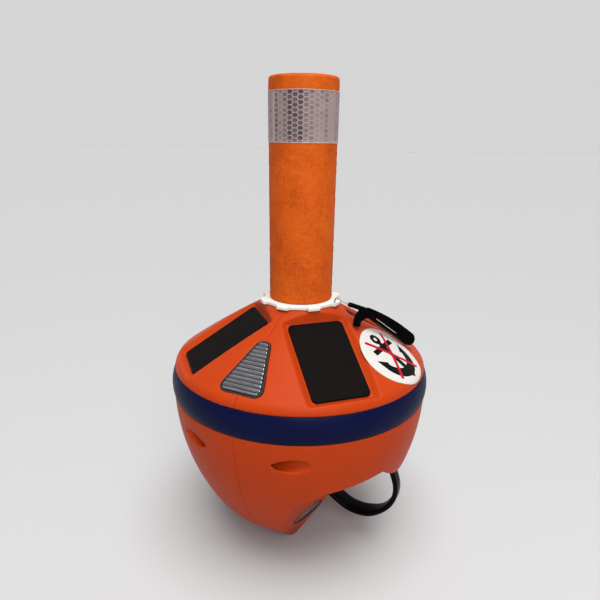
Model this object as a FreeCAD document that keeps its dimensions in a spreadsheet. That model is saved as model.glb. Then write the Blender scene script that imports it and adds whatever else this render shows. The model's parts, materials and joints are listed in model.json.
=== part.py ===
"""Emergency position beacon: a split plastic float with a foam-covered antenna mast.

Millimetres, +Z up. The origin is the centre of the hull's flat base. The two hull
shells meet in the plane X = 0, the signal lights sit on that seam at -Y and +Y, and
the hand notch with its grab loop opens towards +X. Azimuths are measured from -Y
towards +X, so the notch is at azimuth 90.
"""
import FreeCAD
import Part
import math
import os
import re
import Sketcher

Vector = FreeCAD.Vector
Rotation = FreeCAD.Rotation
Placement = FreeCAD.Placement

doc = FreeCAD.newDocument("PositionBeacon")

# ---------------------------------------------------------------- driving dimensions

SIZES = {
    # hull form
    "base_radius": 50.0,
    "knuckle_radius": 112.4,
    "knuckle_height": 61.0,
    "bilge_arc": 275.2,
    "hull_radius": 160.2,
    "band_bottom": 216.0,
    "band_top": 248.3,
    "band_top_radius": 157.3,
    "band_bulge_radius": 162.0,
    "groove_radius": 151.0,
    "shoulder_radius": 151.7,
    "shoulder_height": 259.5,
    "cone_radius": 99.1,
    "cone_height": 294.0,
    "crown_radius": 45.0,
    "crown_height": 325.5,
    "hull_wall": 4.0,
    "flange_depth": 16.0,
    "flange_half": 8.0,
    "collar_radius": 56.0,
    "collar_bottom": 288.0,
    "shelf_radius": 146.0,
    "shelf_height": 263.0,
    "tool_reach": 400.0,
    # hand notch
    "wall_foot": 18.0,
    "wall_slope": 0.57,
    "side_slope": 0.33,
    "side_start": 40.0,
    "ceiling_x": 94.0,
    "ceiling_z": 145.0,
    "ceiling_tilt": 14.0,
    "cove_x": 80.0,
    "cove_z": 136.5,
    "cove_tilt": 31.0,
    "lug_radius": 82.6,
    "lug_bottom": 130.0,
    "lug_inside": 118.0,
    # solar panels and their troughs
    "panel_width": 67.0,
    "panel_length": 106.0,
    "panel_thick": 2.4,
    "panel_corner": 6.0,
    "panel_reach": 96.5,
    "panel_height": 285.5,
    "panel_tilt": 31.0,
    "panel_seal": 0.5,
    "trough_margin": 1.5,
    "trough_rise": 14.0,
    "trough_spread": 19.0,
    # signal lights
    "lens_reach": 118.0,
    "lens_height": 280.8,
    "lens_tilt": 34.0,
    "lens_length": 68.0,
    "lens_foot": 27.0,
    "lens_head": 6.2,
    "lens_corner": 7.5,
    "lens_thick": 4.0,
    "lens_rib": 1.5,
    "lens_pitch": 5.2,
    "lens_seal": 1.5,
    "light_depth": 16.0,
    "light_back_thick": 2.0,
    "light_back_rim": 5.0,
    # clamp bolts
    "bolt_y": 144.0,
    "bolt_z": 189.0,
    "recess_radius": 8.0,
    "recess_seat": 22.0,
    "bolt_radius": 4.0,
    # sign disc
    "sign_radius": 43.1,
    "sign_azimuth": 86.4,
    "sign_reach": 121.6,
    "sign_height": 277.4,
    "sign_tilt": 34.5,
    "sign_thick": 0.8,
    # neck, ring and mast
    "neck_bore": 36.0,
    "neck_outer": 42.0,
    "neck_ledge": 292.0,
    "thread_gap": 0.05,
    "ring_bottom": 326.0,
    "ring_top": 330.5,
    "ring_tip": 50.0,
    "ring_root": 44.0,
    "ring_teeth": 8.0,
    "scallop_radius": 20.0,
    "mast_outer": 25.0,
    "mast_inner": 22.0,
    "foot_radius": 35.5,
    "foot_top": 298.0,
    "foam_radius": 37.9,
    "foam_bottom": 331.0,
    "foam_top": 569.5,
    "tape_bottom": 505.2,
    "tape_width": 50.0,
    "tape_thick": 0.35,
    # grab loop
    "loop_width": 24.0,
    "loop_tip_width": 16.0,
    "loop_thick": 6.5,
    "loop_x": 95.0,
    "loop_z": 90.3,
    "loop_radius": 48.0,
    "loop_end_angle": 20.0,
    "loop_fall_angle": 32.0,
    "loop_foot_run": 36.5,
    "loop_head_run": 38.0,
    "loop_pin_radius": 3.0,
    # service window
    "window_radius": 21.4,
    "window_seat": 23.4,
    "window_thick": 4.0,
    # inside
    "ballast_bottom": 16.2,
    "ballast_top": 46.0,
    "tray_thick": 4.0,
    "cell_radius": 16.0,
    "cell_height": 70.0,
    "cell_ring": 33.5,
    "pack_x": -34.0,
    "pod_radius": 58.0,
    "pod_wall": 3.0,
    "pod_bottom": 124.0,
    "pod_top": 222.0,
    # tether and ring spanner
    "cord_radius": 0.8,
    "ferrule_radius": 2.75,
    "spanner_thick": 6.0,
}

sheet = doc.addObject("Spreadsheet::Sheet", "Sizes")
for row, (alias, number) in enumerate(SIZES.items(), start=1):
    sheet.set(f"A{row}", alias.replace("_", " "))
    sheet.set(f"B{row}", str(number))
    sheet.setAlias(f"B{row}", alias)
doc.recompute()


def size(text):
    """The value in millimetres of an expression of the sheet's own names."""
    return float(sheet.evalExpression(str(text)))


def cells(text):
    """The same expression written for another object: every name points to the sheet."""
    return re.sub(r"[a-z]+_[a-z_]+", lambda found: "Sizes." + found.group(0), str(text))


# ------------------------------------------------------------------------- tools

NODES = []


def node(obj, name, placement=None):
    """Name a finished sub-part, which is written to a file of that name."""
    obj.Label = name
    if placement is not None:
        obj.Placement = placement
    NODES.append(obj)
    return obj


def on_cone(azimuth, reach, height, tilt):
    """Frame on the upper hull: X runs along the hull, Y up the slope, Z out of it."""
    turn = Rotation(Vector(0, 0, 1), azimuth) * Rotation(Vector(1, 0, 0), tilt)
    angle = math.radians(azimuth)
    base = Vector(reach * math.sin(angle), -reach * math.cos(angle), height)
    return Placement(base, turn)


def shifted(placement, x=0.0, y=0.0, z=0.0):
    return placement.multiply(Placement(Vector(x, y, z), Rotation()))


def primitive(kind, label, sizes, placement=None):
    obj = doc.addObject(kind, label)
    for name, text in sizes.items():
        obj.setExpression(name, cells(text))
    if placement is not None:
        obj.Placement = placement
    return obj


def cylinder(label, radius, height, placement=None):
    return primitive("Part::Cylinder", label, {"Radius": radius, "Height": height}, placement)


def centred_box(label, length, width, height, placement=None):
    """A box centred in X and Y on the placement's origin, standing on its XY plane."""
    at = placement or Placement()
    corner = Vector(-size(length) / 2, -size(width) / 2, 0)
    sizes = {"Length": length, "Width": width, "Height": height}
    return primitive("Part::Box", label, sizes, at.multiply(Placement(corner, Rotation())))


def cut(label, base, tool):
    obj = doc.addObject("Part::Cut", label)
    obj.Base = base
    obj.Tool = tool
    return obj


def fuse(label, shapes):
    obj = doc.addObject("Part::MultiFuse", label)
    obj.Shapes = shapes
    return obj


def common(label, shapes):
    obj = doc.addObject("Part::MultiCommon", label)
    obj.Shapes = shapes
    return obj


def cut_all(label, base, tools):
    return cut(label, base, fuse(label + "_tools", tools) if len(tools) > 1 else tools[0])


def group(label, shapes):
    """Separate solids that share one node."""
    obj = doc.addObject("Part::Compound", label)
    obj.Links = shapes
    return obj


def tube(label, outer, inner, bottom, top, placement=None):
    at = placement or Placement()
    start = Placement(Vector(0, 0, size(bottom)), Rotation())
    span = f"({top}) - ({bottom})"
    skin = cylinder(label + "_skin", outer, span, at.multiply(start))
    core = cylinder(label + "_core", inner, span, at.multiply(start))
    return cut(label, skin, core)


def disc(label, radius, bottom, top, x=0.0, y=0.0):
    at = Placement(Vector(x, y, size(bottom)), Rotation())
    return cylinder(label, radius, f"({top}) - ({bottom})", at)


def origin_plane(body, role):
    for feature in body.Origin.OriginFeatures:
        if feature.Role == role:
            return feature
    raise ValueError(role)


def draw(body, role, outline):
    """A closed sketch of lines and arcs, every corner bound to the sheet.

    The outline lists its corners as (across, up), and an arc's end as
    (across, up, middle across, middle up), all of them expressions.
    """
    sketch = body.newObject("Sketcher::SketchObject", body.Name + "_sketch")
    sketch.AttachmentSupport = [(origin_plane(body, role), "")]
    sketch.MapMode = "FlatFace"
    corners = [Vector(size(item[0]), size(item[1]), 0) for item in outline]
    count = len(outline)
    arcs = {}
    for index, item in enumerate(outline):
        start = corners[index - 1]
        end = corners[index]
        if len(item) == 2:
            sketch.addGeometry(Part.LineSegment(start, end), False)
        else:
            middle = Vector(size(item[2]), size(item[3]), 0)
            clockwise = (middle - start).cross(end - middle).z < 0
            first, last = (end, start) if clockwise else (start, end)
            sketch.addGeometry(Part.Arc(first, middle, last), False)
            arcs[index] = item
    ends = {}
    for index in range(count):
        curve = sketch.Geometry[index]
        backwards = curve.StartPoint.distanceToPoint(corners[index - 1]) > 1e-6
        ends[index] = (2, 1) if backwards else (1, 2)
    for index in range(count):
        after = (index + 1) % count
        sketch.addConstraint(
            Sketcher.Constraint("Coincident", index, ends[index][1], after, ends[after][0]))
    for index, item in enumerate(outline):
        pin(sketch, index, ends[index][1], item[0], item[1])
    for index, item in arcs.items():
        middle = Vector(size(item[2]), size(item[3]), 0)
        mark = sketch.addGeometry(Part.Point(middle), True)
        sketch.addConstraint(Sketcher.Constraint("PointOnObject", mark, 1, index))
        pin(sketch, mark, 1, item[2], item[3])
    return sketch


def pin(sketch, geometry, end, across, up):
    """Hold a sketch point at its two coordinates."""
    for kind, axis, text in (("DistanceX", -2, across), ("DistanceY", -1, up)):
        if abs(size(text)) < 1e-9:
            sketch.addConstraint(Sketcher.Constraint("PointOnObject", geometry, end, axis))
            continue
        at = sketch.addConstraint(Sketcher.Constraint(kind, -1, 1, geometry, end, size(text)))
        sketch.setExpression(f"Constraints[{at}]", cells(text))


def turned(label, outline):
    """A body of revolution about Z from a half profile of (radius, height)."""
    body = doc.addObject("PartDesign::Body", label)
    sketch = draw(body, "XZ_Plane", outline)
    turn = body.newObject("PartDesign::Revolution", label + "_turn")
    turn.Profile = sketch
    turn.ReferenceAxis = (sketch, ["V_Axis"])
    turn.Angle = 360.0
    sketch.Visibility = False
    return body


def padded(label, outline, height, role="XY_Plane", midplane=False):
    """A flat body: the outline raised by a height."""
    body = doc.addObject("PartDesign::Body", label)
    sketch = draw(body, role, outline)
    pad = body.newObject("PartDesign::Pad", label + "_pad")
    pad.Profile = sketch
    pad.setExpression("Length", cells(height))
    pad.Midplane = midplane
    return body


def half_space(label, point, yaw, pitch):
    """A block that fills the space beyond a plane. Its normal points along +X, turned
    by yaw about Z after it has been tipped down by pitch."""
    turn = Rotation(Vector(0, 0, 1), yaw) * Rotation(Vector(0, 1, 0), pitch)
    reach = size("tool_reach")
    corner = point + turn.multVec(Vector(0, -reach / 2, -reach / 2))
    sizes = {"Length": "tool_reach", "Width": "tool_reach", "Height": "tool_reach"}
    return primitive("Part::Box", label, sizes, Placement(corner, turn))


def rounded_plate(label, length, width, height, corner):
    """A plate centred on Z with four round corners."""
    half_l = f"({length}) / 2"
    half_w = f"({width}) / 2"
    bend = f"({corner}) * 0.29289"
    outline = []
    for across, along in ((1, 1), (-1, 1), (-1, -1), (1, -1)):
        flip = across * along > 0
        square = (f"{across} * ({half_l})", f"{along} * ({half_w})")
        off_x = (f"{across} * ({half_l} - ({corner}))", square[1])
        off_y = (square[0], f"{along} * ({half_w} - ({corner}))")
        middle = (f"{across} * ({half_l} - {bend})", f"{along} * ({half_w} - {bend})")
        first, last = (off_y, off_x) if flip else (off_x, off_y)
        outline.append(first)
        outline.append(last + middle)
    return padded(label, outline, height)


# ---------------------------------------------------------------------- hull form

def hull_outline():
    """Half profile of the closed float, without the band's groove."""
    bilge_x = "(hull_radius - bilge_arc)"
    middle_z = "(knuckle_height + band_bottom) / 2"
    bilge_middle = f"{bilge_x} + sqrt(bilge_arc ^ 2 - (band_bottom - {middle_z}) ^ 2)"
    return [
        ("0", "0"),
        ("base_radius - 4.9", "0"),
        ("base_radius + 3.5", "3.43", "base_radius - 0.36", "0.89"),
        ("knuckle_radius - 7.15", "knuckle_height - 6.99"),
        ("knuckle_radius + 5.47", "knuckle_height + 8.35", "knuckle_radius - 0.39", "knuckle_height + 0.31"),
        ("hull_radius", "band_bottom", bilge_middle, middle_z),
        ("band_top_radius", "band_top"),
        ("shoulder_radius", "shoulder_height", "band_top_radius - 1.48", "band_top + 6.22"),
        ("crown_radius", "crown_height", "cone_radius", "cone_height"),
        ("0", "crown_height"),
    ]


def cavity_outline(inset):
    """Half profile of the float's inside, inset from the skin by a wall's thickness."""
    middle_z = "(knuckle_height + 200) / 2"
    arc = f"(bilge_arc - {inset})"
    centre = "(hull_radius - bilge_arc)"
    at_200 = f"{centre} + sqrt({arc} ^ 2 - (band_bottom - 200) ^ 2)"
    at_middle = f"{centre} + sqrt({arc} ^ 2 - (band_bottom - {middle_z}) ^ 2)"
    foot_z = f"knuckle_height + 0.645 * {inset}"
    foot_r = f"{centre} + sqrt({arc} ^ 2 - (band_bottom - ({foot_z})) ^ 2)"
    return [
        ("0", f"{inset}"),
        (f"base_radius - 0.4075 * {inset}", f"{inset}"),
        (foot_r, foot_z),
        (at_200, "200", at_middle, middle_z),
        (f"groove_radius - {inset}", f"211 - {inset} / 2"),
        (f"groove_radius - {inset}", f"band_top - 0.3 * {inset}"),
        (f"shelf_radius - 0.6 * {inset}", f"shelf_height - 0.8 * {inset}"),
        (f"cone_radius - 0.53 * {inset}", f"cone_height - 0.85 * {inset}"),
        ("collar_radius", f"319.4 - 0.98 * {inset}"),
        ("collar_radius", "collar_bottom"),
        ("0", "collar_bottom"),
    ]


def notch_space(label, grow=0.0):
    """The space of the hand notch, grown by a wall's thickness on every side.

    Three steep planes make its inner wall: one across the middle and one each side
    that falls back towards the seam. A sloping ceiling closes it, with a cove between.
    """
    slope = size("wall_slope")
    pitch = math.degrees(math.atan(slope))
    foot = size("wall_foot") - grow * math.sqrt(1 + slope ** 2)
    walls = [half_space(label + "_wall", Vector(foot, 0, 0), 0, pitch)]
    side = size("side_slope")
    run = math.sqrt(1 + side ** 2)
    side_foot = size("wall_foot") - grow * math.sqrt(run ** 2 + slope ** 2)
    for sign in (-1, 1):
        point = Vector(side_foot, sign * size("side_start"), 0)
        yaw = sign * math.degrees(math.atan(side))
        side_pitch = math.degrees(math.atan(slope / run))
        walls.append(half_space(f"{label}_side{sign + 1}", point, yaw, side_pitch))
    inner = fuse(label + "_walls", walls)
    tops = []
    for name in ("ceiling", "cove"):
        tilt = size(name + "_tilt")
        angle = math.radians(tilt)
        point = Vector(size(name + "_x"), 0, size(name + "_z"))
        point += Vector(-math.sin(angle), 0, math.cos(angle)) * grow
        tops.append(half_space(f"{label}_{name}", point, 0, 90 - tilt))
    return common(label, [inner] + tops)


def trough(label, azimuth, sink):
    """A tapered pit for one panel: its floor lies sink below the panel's underside."""
    length = size("panel_width") + 2 * size("trough_margin") + 2 * sink
    width = size("panel_length") + 2 * size("trough_margin") + 2 * sink
    rise = size("trough_rise") + sink
    spread = size("trough_spread")
    floor = rectangle(length, width, -size("panel_thick") - size("panel_seal") - sink)
    roof = rectangle(length + 2 * spread, width + 2 * spread * 0.6, rise)
    shape = Part.makeLoft([floor, roof], True, True)
    obj = doc.addObject("Part::Feature", label)
    obj.Shape = shape
    obj.Placement = on_cone(azimuth, size("panel_reach"), size("panel_height"), size("panel_tilt"))
    return obj


def rectangle(length, width, z):
    x = length / 2
    y = width / 2
    corners = [Vector(-x, -y, z), Vector(x, -y, z), Vector(x, y, z), Vector(-x, y, z)]
    return Part.makePolygon(corners + corners[:1])


PANELS = {"front_right": 45.0, "front_left": -45.0, "rear_right": 135.0, "rear_left": 225.0}
LIGHTS = {"front": 0.0, "rear": 180.0}


def lens_frame(azimuth, sink=0.0):
    at = on_cone(azimuth, size("lens_reach"), size("lens_height"), size("lens_tilt"))
    return shifted(at, z=-sink)


def lens_outline(grow):
    """A triangle with three round corners, its blunt apex up the slope."""
    half = size("lens_length") / 2
    foot = size("lens_foot")
    head = size("lens_head")
    corners = [Vector(-foot, -half, 0), Vector(foot, -half, 0),
               Vector(head, half, 0), Vector(-head, half, 0)]
    wire = Part.makePolygon(corners + corners[:1])
    face = Part.Face(wire)
    prism = face.extrude(Vector(0, 0, 1))
    upright = [edge for edge in prism.Edges if abs(edge.tangentAt(edge.FirstParameter).z) > 0.9]
    prism = prism.makeFillet(size("lens_corner"), upright)
    lowest = min(prism.Faces, key=lambda side: side.CenterOfMass.z)
    outline = lowest.OuterWire
    if grow:
        outline = outline.makeOffset2D(grow)
    return outline


def lens_prism(label, azimuth, grow, bottom, height):
    """The lens outline, grown on every side and raised along the hull's normal."""
    obj = doc.addObject("Part::Feature", label)
    obj.Shape = Part.Face(lens_outline(grow)).extrude(Vector(0, 0, height))
    obj.Placement = shifted(lens_frame(azimuth), z=bottom)
    return obj


def window_frame(sink=0.0):
    """Frame of the service window on the notch's front wall: Z points out of the hull."""
    slope = size("wall_slope")
    side = size("side_slope")
    yaw = -math.degrees(math.atan(side))
    pitch = math.degrees(math.atan(slope / math.sqrt(1 + side ** 2)))
    turn = Rotation(Vector(0, 0, 1), yaw) * Rotation(Vector(0, 1, 0), pitch)
    turn = turn * Rotation(Vector(0, 1, 0), 90)
    y = -65.0
    z = 65.0
    x = size("wall_foot") + slope * z - side * (-y - size("side_start"))
    return shifted(Placement(Vector(x, y, z), turn), z=-sink)


def loop_end_frame(which):
    """Frame at the point where the loop enters the hull, Z pointing into the hull."""
    if which == "head":
        angle = math.radians(size("loop_end_angle"))
        r = size("loop_radius")
        point = Vector(size("loop_x") + r * math.cos(angle), 0, size("loop_z") + r * math.sin(angle))
        heading = Vector(-math.sin(angle), 0, math.cos(angle))
    else:
        angle = math.radians(size("loop_fall_angle"))
        r = size("loop_radius")
        point = Vector(size("loop_x") - r * math.sin(angle), 0, size("loop_z") - r * math.cos(angle))
        heading = Vector(-math.cos(angle), 0, math.sin(angle))
    side = Vector(0, 1, 0)
    turn = Rotation(side.cross(heading), side, heading, "ZYX")
    return Placement(point, turn)


def bolt_frame(y_sign, x_sign, distance):
    """On a clamp bolt's axis, Z pointing away from the seam."""
    base = Vector(x_sign * distance, y_sign * size("bolt_y"), size("bolt_z"))
    return Placement(base, Rotation(Vector(0, 1, 0), 90 * x_sign))


def hull():
    form = turned("hull_form", hull_outline())
    notch = notch_space("notch")
    lug = cylinder("lug", "lug_radius", "tool_reach",
                   Placement(Vector(size("lug_inside"), 0, size("lug_bottom") + size("lug_radius")),
                             Rotation(Vector(0, 1, 0), 90)))
    notch_cut = cut("notch_cut", notch, lug)
    groove = tube("groove", "hull_radius + 20", "groove_radius", "band_bottom", "band_top")
    pits = [trough("pit_" + name, azimuth, 0.0) for name, azimuth in PANELS.items()]
    outside = cut_all("outside", form, [notch_cut, groove] + pits)

    # the inside: a thin wall everywhere, and a deep flange along the seam
    cavity = turned("cavity", cavity_outline("hull_wall"))
    slabs = []
    for sign in (-1, 1):
        yaw = 0 if sign > 0 else 180
        face = Vector(sign * size("flange_half"), 0, 170)
        slabs.append(half_space(f"beyond_flange{sign + 1}", face, yaw, 0))
    off_seam = common("off_seam", [cavity, fuse("beyond_flange", slabs)])
    deep = turned("deep_cavity", cavity_outline("flange_depth"))
    keep = [notch_space("notch_backing", size("hull_wall"))]
    keep += [trough("pit_back_" + name, azimuth, size("hull_wall")) for name, azimuth in PANELS.items()]
    for y_sign in (-1, 1):
        for x_sign in (-1, 1):
            keep.append(cylinder(f"boss{y_sign + 1}{x_sign + 1}", "recess_radius + hull_wall", "80",
                                 bolt_frame(y_sign, x_sign, 0)))
    keep.append(cylinder("window_boss", "window_seat + hull_wall", "9",
                         window_frame(9.0)))
    keep.append(centred_box("loop_foot_boss", "loop_thick + 12", "loop_width + 14", "34",
                            shifted(loop_end_frame("foot"), z=10)))
    for name, azimuth in LIGHTS.items():
        keep.append(lens_prism("light_boss_" + name, azimuth, size("light_back_rim") + 1.0,
                               -size("light_depth"), 30.0))
    inside = cut_all("inside", fuse("inside_all", [off_seam, deep]), keep)

    openings = [disc("neck_hole", "neck_outer + 0.1", "collar_bottom - 5", "crown_height + 5"),
                disc("neck_groove", "neck_outer + 6.1", "296", "302.2")]
    for y_sign in (-1, 1):
        for x_sign in (-1, 1):
            openings.append(cylinder(f"recess{y_sign + 1}{x_sign + 1}", "recess_radius", "140",
                                     bolt_frame(y_sign, x_sign, size("recess_seat"))))
        openings.append(cylinder(f"shank_hole{y_sign + 1}", "bolt_radius + 0.2", "60",
                                 bolt_frame(y_sign, 1, -30)))
    openings.append(cylinder("window_hole", "window_seat - 4", "40", window_frame(20.0)))
    openings.append(cylinder("window_pocket", "window_seat + 0.1", "30", window_frame(4.5)))
    for name, azimuth in LIGHTS.items():
        grow = size("lens_seal") + 0.1
        openings.append(lens_prism("lens_seat_" + name, azimuth, grow, -5.0, 25.0))
        openings.append(lens_prism("lens_tub_" + name, azimuth, -3.0, -30.0, 40.0))
        room = size("light_back_thick") + 0.3
        openings.append(lens_prism("lens_back_" + name, azimuth, size("light_back_rim") + 0.3,
                                   -size("light_depth") - room, room))
    for end, width in (("foot", "loop_width + 0.6"), ("head", "loop_tip_width + 3.6")):
        openings.append(centred_box(f"loop_{end}_pocket", "loop_thick + 0.4", width,
                                    f"loop_{end}_run - 3.5", shifted(loop_end_frame(end), z=5)))
        openings.append(loop_pin(f"loop_{end}_bore", end, "loop_pin_radius + 0.05"))
    openings.append(seal_ring("seal_groove", 5.9, 9.1))
    for name, azimuth in PANELS.items():
        at = on_cone(azimuth, size("panel_reach"), size("panel_height"), size("panel_tilt"))
        openings.append(cylinder("lead_hole_" + name, "2.5", "20", shifted(at, y=30.0, z=-15.0)))
    shell = cut_all("shell", cut("shell_blank", outside, inside), openings)
    reach = "tool_reach"
    for name, yaw in (("right", 0), ("left", 180)):
        side = half_space(name + "_side", Vector(0, 0, 200), yaw, 0)
        side.setExpression("Height", cells(reach + " + 200"))
        node(common(name + "_half_shell_solid", [shell, side]), name + "_half_shell")


def seal_ring(label, outer_inset, inner_inset):
    """The band that lies in the seam: a ring of the hull's own outline, 3 mm thick."""
    outer = turned(label + "_outer", cavity_outline(outer_inset))
    inner = turned(label + "_inner", cavity_outline(inner_inset))
    slab = centred_box(label + "_slab", "3", "tool_reach", "tool_reach")
    ring = common(label + "_blank", [cut(label + "_ring", outer, inner), slab])
    gaps = [lens_prism(f"{label}_gap_{name}", azimuth, 7.0, -40.0, 60.0) for name, azimuth in LIGHTS.items()]
    return cut_all(label, ring, gaps)


def loop_pin(label, end, radius):
    frame = loop_end_frame(end)
    depth = size(f"loop_{end}_run") - 7.0
    centre = frame.multVec(Vector(0, 0, depth))
    reach = 15.0 if end == "foot" else 12.0
    at = Placement(centre - Vector(0, reach, 0), Rotation(Vector(1, 0, 0), -90))
    return cylinder(label, radius, str(2 * reach), at)



# ------------------------------------------------------------- outside of the hull

def seam_seal():
    node(seal_ring("seam_seal_ring", 6.0, 9.0), "seam_seal")


def fender_band():
    middle = "(band_bottom + band_top) / 2"
    node(turned("band_body", [
        ("groove_radius + 0.1", "band_bottom + 0.1"),
        ("hull_radius", "band_bottom + 0.1"),
        ("band_top_radius", "band_top - 0.1", "band_bulge_radius", middle),
        ("groove_radius + 0.1", "band_top - 0.1"),
    ]), "fender_band")


def panel_frame(azimuth):
    return on_cone(azimuth, size("panel_reach"), size("panel_height"), size("panel_tilt"))


def solar_panels():
    seals = []
    for name, azimuth in PANELS.items():
        plate = rounded_plate(f"panel_{name}", "panel_width", "panel_length", "panel_thick", "panel_corner")
        node(plate, f"solar_panel_{name}", shifted(panel_frame(azimuth), z=-size("panel_thick")))
        outer = rounded_plate(
            f"seal_{name}_outer", "panel_width - 4", "panel_length - 4", "panel_seal", "5")
        inner = rounded_plate(
            f"seal_{name}_inner", "panel_width - 16", "panel_length - 16", "panel_seal", "3")
        seal = cut(f"seal_{name}", outer, inner)
        seal.Placement = shifted(panel_frame(azimuth), z=-size("panel_thick") - size("panel_seal"))
        seals.append(seal)
    node(group("panel_seal_group", seals), "panel_seals")


def signal_lights():
    thick = size("lens_thick")
    seat = 5.0
    back = size("light_depth")
    plate_thick = size("light_back_thick")
    for name, azimuth in LIGHTS.items():
        frame = lens_frame(azimuth)
        plate = centred_box(f"{name}_plate", "80", "80", "lens_thick", shifted(frame, z=-thick))
        ribs = [plate]
        count = int(size("lens_length") / size("lens_pitch"))
        rib_radius = size("lens_pitch / 2 - 0.3")
        for index in range(count):
            y = (index - (count - 1) / 2) * size("lens_pitch")
            across = shifted(frame, x=-30.0, y=y, z=size("lens_rib") - rib_radius)
            along = across.multiply(Placement(Vector(), Rotation(Vector(0, 1, 0), 90)))
            ribs.append(cylinder(f"{name}_rib{index}", "lens_pitch / 2 - 0.3", "60", along))
        outline = lens_prism(f"{name}_lens_outline", azimuth, 0, -thick, thick + 5)
        node(common(f"{name}_lens_solid", [fuse(f"{name}_ribbed", ribs), outline]), f"{name}_light_lens")

        seal = size("lens_seal")
        skirt = cut(f"{name}_skirt", lens_prism(f"{name}_skirt_outer", azimuth, seal, -seat, seat + 0.2),
                    lens_prism(f"{name}_skirt_inner", azimuth, 0.05, -thick, thick + 5))
        node(cut(f"{name}_seal", skirt, lens_prism(f"{name}_seal_window", azimuth, -3.0, -seat - 5, 20.0)),
             f"{name}_lens_seal")

        node(lens_prism(f"{name}_back", azimuth, size("light_back_rim"), -back - plate_thick, plate_thick),
             f"{name}_light_back")
        node(lens_prism(f"{name}_board", azimuth, -4.0, -back, 1.6), f"{name}_light_board")
        leds = []
        for index, (x, y) in enumerate(((-12, -22), (0, -22), (12, -22), (-7, -6), (7, -6), (0, 12))):
            at = shifted(frame, x=x, y=y, z=-back + 1.6)
            leds.append(centred_box(f"{name}_led{index}", "5", "5", "1.8", at))
        node(group(f"{name}_led_group", leds), f"{name}_light_leds")


def clamp_bolts():
    seat = size("recess_seat")
    bolts = []
    nuts = []
    washers = []
    for y_sign in (-1, 1):
        washer = 1.6
        head = cylinder(f"bolt_head{y_sign + 1}", "6.5", "8", bolt_frame(y_sign, 1, seat + washer))
        shank = cylinder(f"bolt_shank{y_sign + 1}", "bolt_radius", f"2 * recess_seat + {washer} + 10",
                         bolt_frame(y_sign, 1, -seat - 10.0))
        socket = primitive("Part::Prism", f"bolt_socket{y_sign + 1}", {"Circumradius": "3.5", "Height": "6"},
                           bolt_frame(y_sign, 1, seat + washer + 4.0))
        socket.Polygon = 6
        bolts.append(cut(f"bolt{y_sign + 1}", fuse(f"bolt_blank{y_sign + 1}", [head, shank]), socket))
        nut = primitive("Part::Prism", f"nut_blank{y_sign + 1}", {"Circumradius": "7.5", "Height": "6.5"},
                        bolt_frame(y_sign, -1, seat + washer))
        nut.Polygon = 6
        bore_at = bolt_frame(y_sign, -1, seat)
        bore = cylinder(f"nut_bore{y_sign + 1}", "bolt_radius + 0.05", "20", bore_at)
        nuts.append(cut(f"nut{y_sign + 1}", nut, bore))
        for x_sign in (-1, 1):
            at = bolt_frame(y_sign, x_sign, seat)
            name = f"washer{y_sign + 1}{x_sign + 1}"
            washers.append(tube(name, "7.6", "bolt_radius + 0.3", "0", str(washer), at))
    node(group("bolt_group", bolts), "clamp_bolts")
    node(group("nut_group", nuts), "clamp_nuts")
    node(group("washer_group", washers), "clamp_washers")


def upper_form(label, lift):
    """The upper hull's skin raised by lift, as a solid."""
    return turned(label, [
        ("0", "band_top"),
        (f"band_top_radius + {lift}", "band_top"),
        (f"shoulder_radius + 0.6 * {lift}", f"shoulder_height + 0.8 * {lift}",
         f"band_top_radius - 1.48 + 0.92 * {lift}", f"band_top + 6.22 + 0.38 * {lift}"),
        (f"crown_radius + 0.5 * {lift}", f"crown_height + 0.87 * {lift}",
         f"cone_radius + 0.53 * {lift}", f"cone_height + 0.85 * {lift}"),
        ("0", f"crown_height + 0.87 * {lift}"),
    ])


def sign_disc():
    front = upper_form("sign_front", "(sign_thick + 0.1)")
    layer = cut("sign_layer", front, upper_form("sign_behind", "0.1"))
    frame = on_cone(size("sign_azimuth"), size("sign_reach"), size("sign_height"), size("sign_tilt"))
    punch = cylinder("sign_punch", "sign_radius", "40", shifted(frame, z=-20.0))
    node(common("sign_body", [layer, punch]), "sign_disc")


def service_window():
    frame = window_frame(size("window_thick"))
    node(cylinder("window_glass", "window_radius", "window_thick - 0.3", frame), "service_window")
    ring = tube("window_seal", "window_seat", "window_radius + 0.05", "0", "window_thick + 0.3", frame)
    node(ring, "window_gasket")
    board = cylinder("status_plate", "window_seat - 0.5", "1.6", window_frame(10.6))
    node(board, "status_board")
    lamps = []
    for index, (x, y) in enumerate(((-7, 7), (0, 9), (7, 7))):
        at = window_frame(9.0).multiply(Placement(Vector(x, y, 0), Rotation()))
        lamps.append(cylinder(f"lamp{index}", "2.4", "3", at))
    at = window_frame(9.0).multiply(Placement(Vector(0, -6, 0), Rotation()))
    lamps.append(cylinder("reed_switch", "4.5", "2.5", at))
    node(group("status_lamp_group", lamps), "status_lamps")


# ----------------------------------------------------------------- neck and mast

def neck():
    bottom = "collar_bottom - 4"
    node(turned("sleeve_body", [
        ("6.2", bottom),
        ("neck_outer", bottom),
        ("neck_outer", "296.1"),
        ("neck_outer + 6", "296.1"),
        ("neck_outer + 6", "302.1"),
        ("neck_outer", "302.1"),
        ("neck_outer", "crown_height"),
        ("neck_bore", "crown_height"),
        ("neck_bore", "collar_bottom"),
        ("6.2", "collar_bottom"),
    ]), "neck_sleeve")
    height = (size("neck_ledge") + size("collar_bottom")) / 2
    radii = {"Radius1": "30", "Radius2": "(neck_ledge - collar_bottom) / 2"}
    torus = primitive("Part::Torus", "ring_seal", radii, Placement(Vector(0, 0, height), Rotation()))
    node(torus, "mast_seal")
    blank = disc("socket_blank", "6.1", "262", "290")
    socket = cut("socket_body", blank, disc("socket_bore", "2.05", "272", "295"))
    node(socket, "antenna_socket")


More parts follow.
